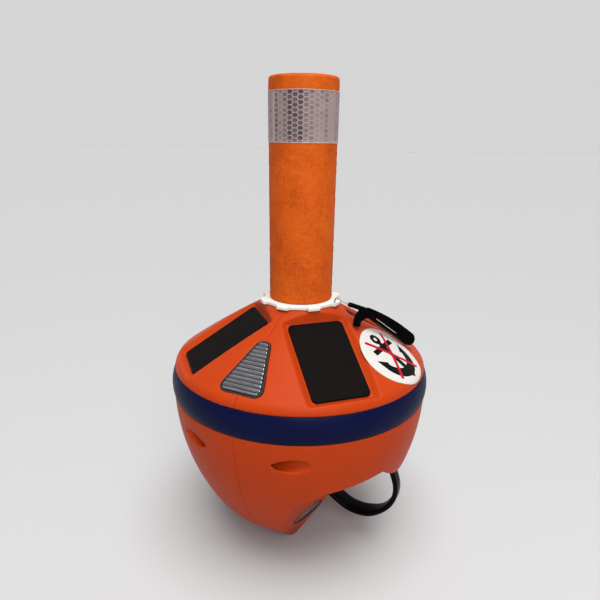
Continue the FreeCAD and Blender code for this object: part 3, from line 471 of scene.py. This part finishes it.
def circle_through(a, b, c):
    """Centre and radius of the circle through three (radius, height) points."""
    ax, ay = a
    bx, by = b
    cx, cy = c
    d = 2 * (ax * (by - cy) + bx * (cy - ay) + cx * (ay - by))
    aa, bb, cc = ax ** 2 + ay ** 2, bx ** 2 + by ** 2, cx ** 2 + cy ** 2
    ux = (aa * (by - cy) + bb * (cy - ay) + cc * (ay - by)) / d
    uy = (aa * (cx - bx) + bb * (ax - cx) + cc * (bx - ax)) / d
    return ux, uy, math.hypot(ax - ux, ay - uy)


BILGE = (-115.0, GROOVE_FOOT, 275.2)
CONE_ARC = circle_through(SHOULDER_TOP, (99.1, 294.0), CROWN_EDGE)
SHOULDER_ARC = circle_through((157.3, GROOVE_TOP), (155.82, 254.52), SHOULDER_TOP)
KNUCKLE_ARC = circle_through((105.25, 54.01), (112.01, 61.31), (117.87, 69.35))


def snap_to_form(co):
    """Put points that lie within a hair of the hull's turned surfaces exactly on them."""
    radius = np.hypot(co[:, 0], co[:, 1])
    height = co[:, 2]
    bands = (
        (BILGE, 69.4, GROOVE_FOOT),
        (CONE_ARC, 259.6, 325.2),
        (SHOULDER_ARC, 248.5, 259.4),
        (KNUCKLE_ARC, 54.2, 69.3),
    )
    for (cx, cz, size), low, high in bands:
        away_r = radius - cx
        away_z = height - cz
        length = np.hypot(away_r, away_z)
        gap = length - size
        pick = (np.abs(gap) < SNAP_REACH) & (height > low) & (height < high)
        scale = np.where(pick, size / np.maximum(length, 1e-9), 1.0)
        new_r = cx + away_r * scale
        new_z = cz + away_z * scale
        grow = np.where(pick, new_r / np.maximum(radius, 1e-9), 1.0)
        co[:, 0] *= grow
        co[:, 1] *= grow
        co[:, 2] = np.where(pick, new_z, co[:, 2])
        radius = np.hypot(co[:, 0], co[:, 1])
        height = co[:, 2]
    gap = (radius - BASE_RADIUS) * BASE_CONE.y - height * BASE_CONE.x
    pick = (np.abs(gap) < SNAP_REACH) & (height > 3.6) & (height < 54.0)
    new_r = radius - np.where(pick, gap * BASE_CONE.y, 0)
    co[:, 2] += np.where(pick, gap * BASE_CONE.x, 0)
    co[:, 0] *= new_r / np.maximum(radius, 1e-9)
    co[:, 1] *= new_r / np.maximum(radius, 1e-9)
    return co


def soften(mesh, rounds, weight):
    """Weighted smoothing of a mesh, which rounds its edges."""
    count = len(mesh.vertices)
    co = read_points(mesh)
    pairs = np.zeros(len(mesh.edges) * 2, np.int64)
    mesh.edges.foreach_get("vertices", pairs)
    a, b = pairs.reshape(-1, 2).T
    degree = np.bincount(a, minlength=count) + np.bincount(b, minlength=count)
    strength = weight(co)[:, None]
    for _ in range(rounds):
        total = np.empty_like(co)
        for axis in range(3):
            total[:, axis] = (np.bincount(a, co[b, axis], minlength=count)
                              + np.bincount(b, co[a, axis], minlength=count))
        co += strength * 0.5 * (total / degree[:, None] - co)
    write_points(mesh, snap_to_form(co))


def softness(co):
    """How far each point of the shell may be rounded: little at the seam and at fits."""
    weight = np.ones(len(co))
    seam = np.clip((np.abs(co[:, 0]) - 1.5) / 3.0, 0.06, 1)
    radius = np.hypot(co[:, 0], co[:, 1])
    neck = np.clip((radius - 46) / 4, 0.1, 1)
    off_groove = np.minimum(np.abs(co[:, 2] - GROOVE_FOOT), np.abs(co[:, 2] - GROOVE_TOP))
    groove = np.clip(off_groove / 3, 0.25, 1)
    for part in (seam, neck, groove):
        weight = np.minimum(weight, part)
    away = np.linalg.norm(co - np.array(WINDOW_CENTRE), axis=1)
    return np.where(np.abs(away - WINDOW_SEAT) < 2.2, np.minimum(weight, 0.15), weight)


def window_matrix():
    """Place of the service window on the notch's sloping facet, with Z outward."""
    slope, side = 0.57, 0.33
    yaw = -math.atan(side)
    pitch = math.atan(slope / math.sqrt(1 + side ** 2))
    turn = Matrix.Rotation(yaw, 4, "Z") @ Matrix.Rotation(pitch + math.pi / 2, 4, "Y")
    return Matrix.Translation((18 + slope * 65 - side * 25, -65, 65)) @ turn


WINDOW_MATRIX = window_matrix()
WINDOW_CENTRE = WINDOW_MATRIX.translation


def hull_half(node, name):
    """A CAD shell as an even mesh, with its moulded edges rounded."""
    obj = new_object(name, NODES[node].data.copy())
    grid = obj.modifiers.new("grid", "REMESH")
    grid.mode = "VOXEL"
    grid.voxel_size = 0.0011
    applied(obj)
    soften(obj.data, 7, softness)
    thin = obj.modifiers.new("thin", "DECIMATE")
    thin.ratio = 0.225
    applied(obj)
    for face in obj.data.polygons:
        face.use_smooth = True
    return piece(obj, "hull", "hull_plastic", HULL, node)


def fender_band():
    back = 151.1
    foot, top = (160.2, 216.1), (157.3, 248.2)
    outline = [(back, foot[1]), foot]
    cx, cz, size = circle_through(foot, (162.0, 232.15), top)
    low = math.atan2(foot[1] - cz, foot[0] - cx)
    high = math.atan2(top[1] - cz, top[0] - cx)
    steps = 14
    for step in range(1, steps):
        angle = low + (high - low) * step / steps
        outline.append((cx + size * math.cos(angle), cz + size * math.sin(angle)))
    outline += [top, (back, top[1])]
    radii = [0, 1.4] + [0] * (steps - 1) + [1.6, 0]
    obj = lathe("fender_band_ring", fillet(outline, radii, 5), 288)
    shade(obj, 50)
    piece(obj, "hull", "band_rubber", BAND, "fender_band")


# --------------------------------------------------------------- panels and lights

PANEL_WIDTH = 67
PANEL_LENGTH = 106
PANELS = {"front_right": 45.0, "front_left": -45.0, "rear_right": 135.0, "rear_left": 225.0}


def panel_outline(inset, corner, z):
    """The panel's outline, drawn in by an inset, at a height above its face."""
    w, h = PANEL_WIDTH / 2 - inset, PANEL_LENGTH / 2 - inset
    return [(x, y, z) for x, y in fillet([(-w, -h), (w, -h), (w, h), (-w, h)], corner, 7)]


def solar_panels():
    for name, azimuth in PANELS.items():
        at = on_cone(azimuth, 96.5, 285.5, 31.0)
        outside = ((0.35, -2.4), (0.0, -2.0), (0.0, -0.7), (0.2, -0.25))
        steps = outside + ((0.65, 0.0), (2.0, 0.0), (2.25, -0.12), (2.4, -0.3))
        rim = [panel_outline(inset, 6 - inset * 0.6, z) for inset, z in steps]
        body = loops_to_mesh(f"panel_{name}_frame", rim, at)
        shade(body, 50)
        piece(body, "hull", "panel_glass", PANEL_RIM, f"solar_panel_{name}")
        steps = ((2.3, -0.35), (2.3, -0.22), (2.7, -0.14), (4.5, -0.1))
        face = [panel_outline(inset, 5, z) for inset, z in steps]
        sheet = loops_to_mesh(f"panel_{name}_face", face, at)
        shade(sheet, 50)
        piece(sheet, "hull", "panel_glass", PANEL, f"solar_panel_{name}")


LENS_CORNERS = [(-27.0, -34.0), (27.0, -34.0), (6.2, 34.0), (-6.2, 34.0)]


def lens_outline(inset):
    """The lens's rounded outline, drawn in by an inset."""
    outline = fillet(LENS_CORNERS, 7.5, 10)
    out = []
    count = len(outline)
    for index in range(count):
        before = Vector(outline[index - 1])
        after = Vector(outline[(index + 1) % count])
        along = (after - before).normalized()
        out.append((outline[index][0] - along.y * inset, outline[index][1] + along.x * inset))
    return out


def crossings(outline, y):
    """Where a line of constant y crosses an outline, furthest left and furthest right."""
    found = []
    for (x0, y0), (x1, y1) in zip(outline, outline[1:] + outline[:1]):
        if (y0 - y) * (y1 - y) <= 0 and abs(y1 - y0) > 1e-9:
            found.append(x0 + (x1 - x0) * (y - y0) / (y1 - y0))
    return min(found), max(found)


def ribbed_lens(name, azimuth):
    """The light's lens: round ribs whose crests are silver metal as a painted highlight, with painted shade
    in the troughs between them and a near-black rim.
    """
    at = on_cone(azimuth, 118.0, 280.8, 34.0)
    outline = lens_outline(0.2)
    low = min(p[1] for p in outline) + 0.02
    high = max(p[1] for p in outline) - 0.02
    rows, columns = 234, 26
    wide = columns + 1
    pitch = 5.2
    points = []
    painted_shade_or_rim = []
    for row in range(rows + 1):
        y = low + (high - low) * row / rows
        left, right = crossings(outline, y)
        phase = (y / pitch + 0.5) % 1.0 - 0.5
        crest = math.sqrt(max(0.0, 1 - (phase / 0.5) ** 2))
        for column in range(wide):
            x = left + (right - left) * (0.5 - 0.5 * math.cos(math.pi * column / columns))
            edge = min(x - left, right - x, y - low, high - y)
            fade = min(1.0, max(0.0, edge))
            points.append((x, y, -1.4 + (0.5 + 2.1 * crest) * fade ** 0.5))
            # Trough points get the painted shade; points near the edge get the near-black rim.
            painted_shade_or_rim.append(edge < 0.9 or crest < 0.42)
    top = len(points)
    points += [(x, y, -4.0) for x, y, _ in points]
    faces = []
    for row in range(rows):
        for column in range(columns):
            a = row * wide + column
            faces.append((a, a + 1, a + 1 + wide, a + wide))
            faces.append((top + a, top + a + wide, top + a + 1 + wide, top + a + 1))
        for column in (0, columns):
            a = row * wide + column
            faces.append((a, a + wide, top + a + wide, top + a))
    for column in range(columns):
        for row in (0, rows):
            a = row * wide + column
            faces.append((a, a + 1, top + a + 1, top + a))
    lens = new_mesh(f"{name}_lens_ribs", [at @ Vector(p) for p in points], faces)
    shade(lens, 75)
    piece(lens, "hull", "lens_clear", RIB_HIGHLIGHT, f"{name}_light_lens")
    lens.data.materials.append(RIB_SHADE_AND_RIM)
    for face in lens.data.polygons:
        face.material_index = int(any(corner >= top or painted_shade_or_rim[corner] for corner in face.vertices))


# ------------------------------------------------------------------------- sign

SIGN_MATRIX = on_cone(86.4, 121.6, 277.4, 34.5)
SIGN_RADIUS = 43.0


def form_gap(point):
    """Distance outward from the upper hull's turned surface, in millimetres."""
    radius = math.hypot(point.x, point.y)
    below = point.z < SHOULDER_TOP[1] + 0.75 * (radius - SHOULDER_TOP[0])
    cx, cz, size = SHOULDER_ARC if below and radius > 140 else CONE_ARC
    return math.hypot(radius - cx, point.z - cz) - size


def drape(matrix, x, y, lift):
    """The point that stands lift above the hull over (x, y) of a place on it."""
    normal = (matrix.to_3x3() @ Vector((0, 0, 1))).normalized()
    point = matrix @ Vector((x, y, 0))
    low, high = -14.0, 14.0
    for _ in range(36):
        middle = (low + high) / 2
        if form_gap(point + normal * middle) > lift:
            high = middle
        else:
            low = middle
    return point + normal * low


def draped_patch(name, outlines, lift, thick):
    """Flat outlines laid on the hull as one thin closed sheet."""
    work = bmesh.new()
    for outline in outlines:
        verts = [work.verts.new((x, y, 0)) for x, y in outline]
        work.faces.new(verts)
    bmesh.ops.remove_doubles(work, verts=work.verts, dist=1e-3)
    bmesh.ops.triangulate(work, faces=work.faces)
    for _ in range(3):
        longest = [e for e in work.edges if e.calc_length() > 3.0]
        bmesh.ops.subdivide_edges(work, edges=longest, cuts=1)
        bmesh.ops.triangulate(work, faces=work.faces)
    mesh = bpy.data.meshes.new(name)
    work.to_mesh(mesh)
    work.free()
    flat = [v.co.copy() for v in mesh.vertices]
    upper = [drape(SIGN_MATRIX, p.x, p.y, lift + thick) for p in flat]
    lower = [drape(SIGN_MATRIX, p.x, p.y, lift) for p in flat]
    count = len(flat)
    faces = []
    sides = {}
    for polygon in mesh.polygons:
        ids = tuple(polygon.vertices)
        faces.append(ids)
        faces.append(tuple(count + i for i in reversed(ids)))
        for a, b in zip(ids, ids[1:] + ids[:1]):
            sides[a, b] = True
    for a, b in sides:
        if (b, a) not in sides:
            faces.append((b, a, count + a, count + b))
    obj = new_mesh(name, upper + lower, faces)
    shade(obj, 30)
    return obj


def arc_points(cx, cy, radius, start, end, steps):
    """Points along an arc between two angles in degrees."""
    out = []
    for step in range(steps + 1):
        angle = math.radians(start + (end - start) * step / steps)
        out.append((cx + radius * math.cos(angle), cy + radius * math.sin(angle)))
    return out


def mirrored(half):
    """A closed outline from its right half, listed from the bottom to the top."""
    return half + [(-x, y) for x, y in reversed(half) if abs(x) > 1e-6]


def anchor_outline():
    """A plain anchor in one outline: a shank with a stock, and two curved arms with flukes."""
    outer = arc_points(0, -4.0, 29.5, 278, 350, 14)
    inner = arc_points(0, 1.0, 21.8, 340, 284, 12)
    arm = [(0.0, -37.0)] + outer + [(31.0, 5.5), (19.0, -4.0)] + inner
    shank = 3.6
    stock = [(shank, 9.8), (23.0, 9.8), (23.0, 16.6), (shank, 16.6)]
    return mirrored(arm + [(shank, -20.0)] + stock + [(shank, 19.2)])


def eye_outlines():
    """The anchor's eye, as a ring of small quads."""
    steps = 28
    outer = arc_points(0, 26.0, 7.6, 0, 360, steps)
    inner = arc_points(0, 26.0, 2.7, 0, 360, steps)
    return [[outer[k], outer[k + 1], inner[k + 1], inner[k]] for k in range(steps)]


def sign():
    """A domed plate that follows the hull, with an anchor crossed out by two bars."""
    disc = arc_points(0, 0, SIGN_RADIUS, 0, 360, 96)[:-1]
    rings = 14
    under, top = 0.12, 0.88
    steps = [(1 - ring / rings, under) for ring in range(rings - 1, 0, -1)]
    for inset, lift in ((0.0, under), (0.0, 0.55), (0.15, 0.75), (0.45, top)):
        steps.append(((SIGN_RADIUS - inset) / SIGN_RADIUS, lift))
    for ring in range(1, rings):
        steps.append(((SIGN_RADIUS - 0.5) * (1 - ring / rings) / SIGN_RADIUS, top))
    loops = []
    for scale, lift in steps:
        loops.append([drape(SIGN_MATRIX, x * scale, y * scale, lift) for x, y in disc])
    plate = loops_to_mesh("sign_plate", loops)
    shade(plate, 40)
    piece(plate, "hull", "sign_plastic", SIGN, "sign_disc")
    anchor = draped_patch("sign_anchor", [anchor_outline()], 0.86, 0.14)
    piece(anchor, "hull", "sign_plastic", SIGN_BLACK, "sign_disc")
    eye = draped_patch("sign_anchor_eye", eye_outlines(), 0.87, 0.14)
    piece(eye, "hull", "sign_plastic", SIGN_BLACK, "sign_disc")
    half = 2.1
    for index, (dx, dy, lift) in enumerate(((22.4, 28.6, 0.9), (-20.5, 30.6, 0.93))):
        end = Vector((dx, dy))
        across = Vector((-dy, dx)).normalized() * half
        bar = [end + across, -end + across, -end - across, end - across]
        obj = draped_patch(f"sign_bar_{index}", [fillet([tuple(p) for p in bar], 1.6, 4)], lift, 0.14)
        piece(obj, "hull", "sign_plastic", SIGN_RED, "sign_disc")


# ------------------------------------------------------------------ mast and ring

def ring_edge(angle):
    """Outer radius of the toothed flange: eight teeth with steep sides and shallow gaps."""
    teeth = 8
    root, tip, hollow = 44.2, 50.0, 2.2
    half_gap = math.radians(14.3)
    side = math.radians(1.6)
    away = abs(angle % (TAU / teeth) - TAU / teeth / 2)
    floor = root + hollow * (away / half_gap) ** 2
    share = min(1.0, max(0.0, (away - half_gap + side) / side))
    return floor + (tip - floor) * share * share * (3 - 2 * share)


def lock_ring():
    """The ring with its toothed flange, and the skirt that runs down into the neck."""
    steps = 576
    foot, flange, top = 298.1, 326.0, 330.5
    bore, skirt = 25.3, 35.95
    layers = ((0.9, flange), (0.25, 326.2), (0.0, 326.7), (0.0, 329.6), (0.25, 330.2), (0.8, top))
    inner = [(26.0, top), (bore, 329.9), (bore, foot), (skirt, foot), (skirt, flange)]
    points = []
    for step in range(steps):
        angle = TAU * step / steps
        edge = ring_edge(angle)
        for radius, z in [(edge - inset, z) for inset, z in layers] + inner:
            points.append((radius * math.cos(angle), radius * math.sin(angle), z))
    obj = new_mesh("toothed_ring", points, closed_grid(steps, len(layers) + len(inner)))
    shade(obj, 40)
    piece(obj, "ring", "white_plastic", WHITE, "lock_ring")


def foam_sleeve():
    """The foam cover: a rounded cylinder over the mast, whose skin is slightly uneven."""
    size, bore, middle = 37.9, 25.15, 0.6
    foot, round_start, top = 331.0, 566.4, 569.5
    crown = top - round_start
    outline = [(bore, foot), (size - 0.8, foot), (size, foot + 0.8)]
    z = foot + 0.8
    while z < 566.0:
        z += 1.6
        outline.append((size, min(z, round_start)))
    for a in (0.3, 0.6, 0.9, 1.2, 1.5):
        outline.append((size - crown * (1 - math.cos(a)), round_start + crown * math.sin(a)))
    for radius in (33, 30, 27, 24, 20, 16, 12, 8, 4, middle):
        outline.append((radius, top))
    outline += [(middle, 560.0), (bore, 560.0)]
    obj = lathe("foam_cover", outline, 200)
    co = read_points(obj.data)
    rng = np.random.default_rng(11)
    waves = np.zeros(len(co))
    for length, height in ((9.0, 0.10), (4.5, 0.07), (2.6, 0.05)):
        for _ in range(12):
            heading = rng.normal(size=3)
            heading /= np.linalg.norm(heading)
            waves += height * 0.4 * np.sin(co @ heading * TAU / length + rng.uniform(0, TAU))
    radius = np.hypot(co[:, 0], co[:, 1])
    side = (radius > 37) & (co[:, 2] > 333)
    flat = (co[:, 2] > 569) & (radius < 34)
    factor = np.where(side, 1 + (waves - 0.12) / np.maximum(radius, 1), 1)
    co[:, 0] *= factor
    co[:, 1] *= factor
    co[:, 2] += np.where(flat, np.minimum(waves, 0.2) - 0.1, 0)
    write_points(obj.data, co)
    shade(obj, 50)
    piece(obj, "mast", "foam_cover", FOAM, "foam_sleeve")


TAPE_FOOT = 505.2
TAPE_TOP = 555.2


def tape_trim(obj, material):
    """Finish one plain piece of the tape."""
    shade(obj, 40)
    piece(obj, "mast", "reflective_sheet", material, "reflective_tape")


def tape_cells():
    """The honeycomb sheet: flat-topped hexagonal cells sunk between pale lines."""
    low, high = TAPE_FOOT, TAPE_TOP
    radius = 38.34
    columns = 42
    across = TAU * radius / columns
    size = across / 1.5
    pitch_up = 4.75
    rows = int((high - low) / pitch_up) + 3
    turns = [TAU * k / 6 for k in range(6)]
    corners = [(math.cos(a) * size, math.sin(a) * pitch_up / math.sqrt(3)) for a in turns]
    inner = 0.84
    shaded_azimuth = math.radians(-75)
    rng = random.Random(8)
    points = []
    faces = []
    slots = []
    tones = []

    def place(x, z, r):
        angle = x / radius
        return (r * math.cos(angle), r * math.sin(angle), min(high - 0.5, max(low + 0.5, z)))

    for column in range(columns):
        # Painted shade: each column is deepest in tone at one azimuth of the mast and lighter further round,
        # with a random change per column and per cell on top.
        away = abs((column * across / radius - shaded_azimuth + math.pi) % TAU - math.pi)
        column_tone_and_shade = min(0.9, 0.2 + 0.75 * away) + rng.uniform(-0.3, 0.3)
        for row in range(-1, rows):
            cx = column * across
            cz = low + (row + (0.5 if column % 2 else 0.0)) * pitch_up
            if cz + pitch_up / 2 <= low + 0.6 or cz - pitch_up / 2 >= high - 0.6:
                continue
            base = len(points)
            points += [place(cx + x, cz + z, radius) for x, z in corners]
            points += [place(cx + inner * x, cz + inner * z, radius - 0.04) for x, z in corners]
            for corner in range(6):
                after = (corner + 1) % 6
                faces.append((base + corner, base + after, base + 6 + after, base + 6 + corner))
                slots.append(0)
            faces.append(tuple(base + 6 + corner for corner in range(6)))
            slots.append(1)
            tones += [min(1.0, max(0.0, column_tone_and_shade + rng.uniform(-0.18, 0.18)))] * 12
    sheet = new_mesh("tape_cells_sheet", points, faces)
    tone = sheet.data.attributes.new("tone", "FLOAT", "POINT")
    tone.data.foreach_set("value", tones)
    piece(sheet, "mast", "reflective_sheet", TAPE_LINES, "reflective_tape")
    sheet.data.materials.append(TAPE_CELLS)
    for face, slot in zip(sheet.data.polygons, slots):
        face.material_index = slot
        face.use_smooth = True


def tape_band(name, inner, outer, low, high):
    section = [(inner, low), (outer, low), (outer, high), (inner, high)]
    return lathe(name, section, 224)


def tape_edges():
    """The sheet's backing, its plain edges above and below, and the lap where it ends."""
    rim = 0.55
    tape_trim(tape_band("tape_backing", 37.96, 38.04, TAPE_FOOT, TAPE_TOP), TAPE_LINES)
    for name, edge in (("low", TAPE_FOOT), ("high", TAPE_TOP - rim)):
        tape_trim(tape_band(f"tape_rim_{name}", 38.05, 38.36, edge, edge + rim), TAPE_EDGE)
    lap = math.radians(-119)
    lap_end = lap + 0.024
    section = ((38.2, lap), (38.2, lap_end), (38.45, lap_end), (38.45, lap))
    loops = []
    for z in (TAPE_FOOT + 0.02, TAPE_TOP - 0.02):
        loops.append([(r * math.cos(a), r * math.sin(a), z) for r, a in section])
    tape_trim(loops_to_mesh("tape_lap", loops), TAPE_EDGE)


# -------------------------------------------------------------------- grab loop

def grab_loop():
    """The strap, swept along its bent line in the (x, z) plane with a rounded section."""
    centre = Vector((95.0, 90.3))
    radius = 48.0
    start, end = math.radians(238), math.radians(380)
    run_steps, steps = 13, 72
    wide, narrow, half_thick = 12.0, 8.0, 3.25

    def on_line(angle, run=0.0):
        out = Vector((math.cos(angle), math.sin(angle)))
        return centre + radius * out + run * Vector((-out.y, out.x))

    line = []
    for step in range(run_steps):
        line.append((on_line(start, -36.5 * (1 - step / run_steps)), start))
    for step in range(steps + 1):
        angle = start + (end - start) * step / steps
        line.append((on_line(angle), angle))
    for step in range(1, run_steps + 1):
        line.append((on_line(end, 38.0 * step / run_steps), end))
    loops = []
    for point, angle in line:
        share = min(1.0, max(0.0, (point.x - 108) / 28))
        half = wide - (wide - narrow) * share * share * (3 - 2 * share)
        if angle >= end - 1e-6:
            half = narrow
        corners = [(-half, -half_thick), (half, -half_thick), (half, half_thick), (-half, half_thick)]
        section = fillet(corners, 2.3, 5)
        out = Vector((math.cos(angle), math.sin(angle)))
        loops.append([(point.x + out.x * t, y, point.y + out.y * t) for y, t in section])
    obj = loops_to_mesh("grab_loop_strap", loops)
    shade(obj, 50)
    piece(obj, "hull", "loop_rubber", LOOP, "grab_loop")


# -------------------------------------------------------- tether and ring spanner

FERRULE_START = Vector((66.8, -11.5, 333.3))
SPANNER_HEEL = Vector((86.2, 1.3, 325.1))
CORD_DIAMETER = 1.6
CORD_ROUTE = [
    Vector((47.5, -5.0, 330.5)),
    Vector((48.0, -6.6, 335.3)),
    Vector((52.5, -11.0, 338.9)),
    Vector((62.1, -14.6, 335.3)),
    Vector((69.9, -9.4, 332.0)),
]


def tether():
    """The short cord from the ring, with the ferrule and the spanner on its end."""
    data = bpy.data.curves.new("tether_line", "CURVE")
    data.dimensions = "3D"
    spline = data.splines.new("NURBS")
    spline.points.add(len(CORD_ROUTE) - 1)
    for point, place in zip(spline.points, CORD_ROUTE):
        point.co = (*(place * MM), 1)
    spline.order_u = 3
    spline.use_endpoint_u = True
    spline.resolution_u = 12
    data.bevel_depth = CORD_DIAMETER / 2 * MM
    data.bevel_resolution = 6
    data.use_fill_caps = True
    cord = new_object("tether_line", data)

    span = SPANNER_HEEL - FERRULE_START
    turn = span.to_track_quat("Z", "Y").to_matrix().to_4x4()
    at = Matrix.Translation(FERRULE_START) @ turn
    length = span.length
    outline = [(0.86, 0.3), (1.5, 0.0), (2.1, 0.35), (2.55, 1.3), (2.75, 2.6)]
    outline += [(2.75, length - 1.5), (2.4, length), (0.86, length)]
    ferrule = lathe("cord_crimp", outline, 40, at)
    shade(ferrule, 40)
    piece(ferrule, "ring", "tool_plastic", TOOL, "cord_ferrule")
    bevelled("ring_spanner", "hook_spanner", 1.3, "ring", "tool_plastic", TOOL, 4)

    piece(cord, "ring", "tether_fibre", CORD, "tether_cord")


# ---------------------------------------------------------------- service window

def service_window():
    """The round pane and the rubber ring that seals it."""
    glass_at = WINDOW_MATRIX @ Matrix.Translation((0, 0, -4.0))
    middle, rim, thick = 0.01, 21.35, 3.7
    section = [(middle, 0.0), (rim, 0.0), (rim, thick), (middle, thick)]
    glass = lathe("window_pane", fillet(section, [0, 0.3, 0.7, 0], 4), 96, glass_at)
    shade(glass, 40)
    piece(glass, "hull", "lens_clear", WINDOW, "service_window")
    inner, outer = rim + 0.1, WINDOW_SEAT - 0.15
    section = [(inner, 0.1), (outer, 0.1), (outer, 4.3), (inner, 4.3)]
    ring = lathe("window_seal_ring", fillet(section, [0.2, 0.2, 0.8, 0.8], 4), 96, glass_at)
    shade(ring, 40)
    piece(ring, "hull", "seal_rubber", SEAL, "window_gasket")


# ------------------------------------------------------------------ the CAD nodes

def keep_nodes():
    """The CAD nodes that show as they are get their finished materials."""
    for entry in frame["record"]["subparts"]:
        obj = NODES[entry["node"]]
        material = BY_SLOT[entry["material_slot"]]
        if entry["node"] == "seam_seal":
            material = SEAM
        if entry["node"] in ("status_lamps", "front_light_leds", "rear_light_leds"):
            material = LAMP
        for slot in obj.material_slots:
            slot.material = material


# -------------------------------------------------------------- floor and lights

def light(name, kind, place, heading, power):
    """A light at a place, that shines the opposite way to its heading."""
    data = bpy.data.lights.new(name, kind)
    data.energy = power
    lamp = new_object(name, data)
    lamp.location = place
    lamp.rotation_euler = (-Vector(heading)).to_track_quat("-Z", "Y").to_euler()
    return data


def pale_sky():
    """A world as pale as the floor beyond the object, and dimmer overhead and behind."""
    world = bpy.data.worlds.new("studio")
    bpy.context.scene.world = world
    world.use_nodes = True
    tree = world.node_tree
    back = tree.nodes["Background"]
    coords = tree.nodes.new("ShaderNodeTexCoord")
    far_side = tree.nodes.new("ShaderNodeVectorMath")
    far_side.operation = "DOT_PRODUCT"
    far_side.inputs[1].default_value = (-0.438, 0.899, -0.25)
    tree.links.new(coords.outputs["Generated"], far_side.inputs[0])
    stops = [(0.05, (0.30, 0.30, 0.31)), (0.62, (0.665, 0.665, 0.665))]
    tree.links.new(ramp(tree, far_side.outputs["Value"], stops), back.inputs["Color"])
    back.inputs["Strength"].default_value = 1.0


def stage():
    """A wide pale floor under a soft sun, with one square lamp to the front right."""
    reach = 30000
    signs = ((-1, -1), (1, -1), (1, 1), (-1, 1))
    corners = [(x * reach, y * reach, -0.05) for x, y in signs]
    floor = new_mesh("floor", corners, [(0, 1, 2, 3)])
    floor.data.materials.append(shader("floor_paper", (0.46, 0.46, 0.46), 0.9, specular=0.0)[0])
    pale_sky()
    sun = light("soft_sun", "SUN", (0, 0, 0), (0.15, -0.15, 1.0), 3.5)
    sun.angle = math.radians(45)
    key_place = Vector((0.7, -1.0, 1.0))
    key = light("key", "AREA", key_place, key_place - Vector((0, 0, 0.35)), 9)
    key.shape = "SQUARE"
    key.size = 0.6
    bpy.context.scene.view_settings.view_transform = "Standard"


keep_nodes()
tether()
hull_half("right_half_shell", "right_hull_half")
hull_half("left_half_shell", "left_hull_half")
fender_band()
solar_panels()
ribbed_lens("front", 0.0)
ribbed_lens("rear", 180.0)
sign()
lock_ring()
foam_sleeve()
tape_cells()
tape_edges()
grab_loop()
service_window()
bevelled("clamp_bolts", "clamp_bolt_pair", 0.5, "hull", "stainless", STEEL, 2)
bevelled("clamp_nuts", "clamp_nut_pair", 0.5, "hull", "stainless", STEEL, 2)
bevelled("clamp_washers", "clamp_washer_set", 0.2, "hull", "stainless", STEEL, 2)
stage()
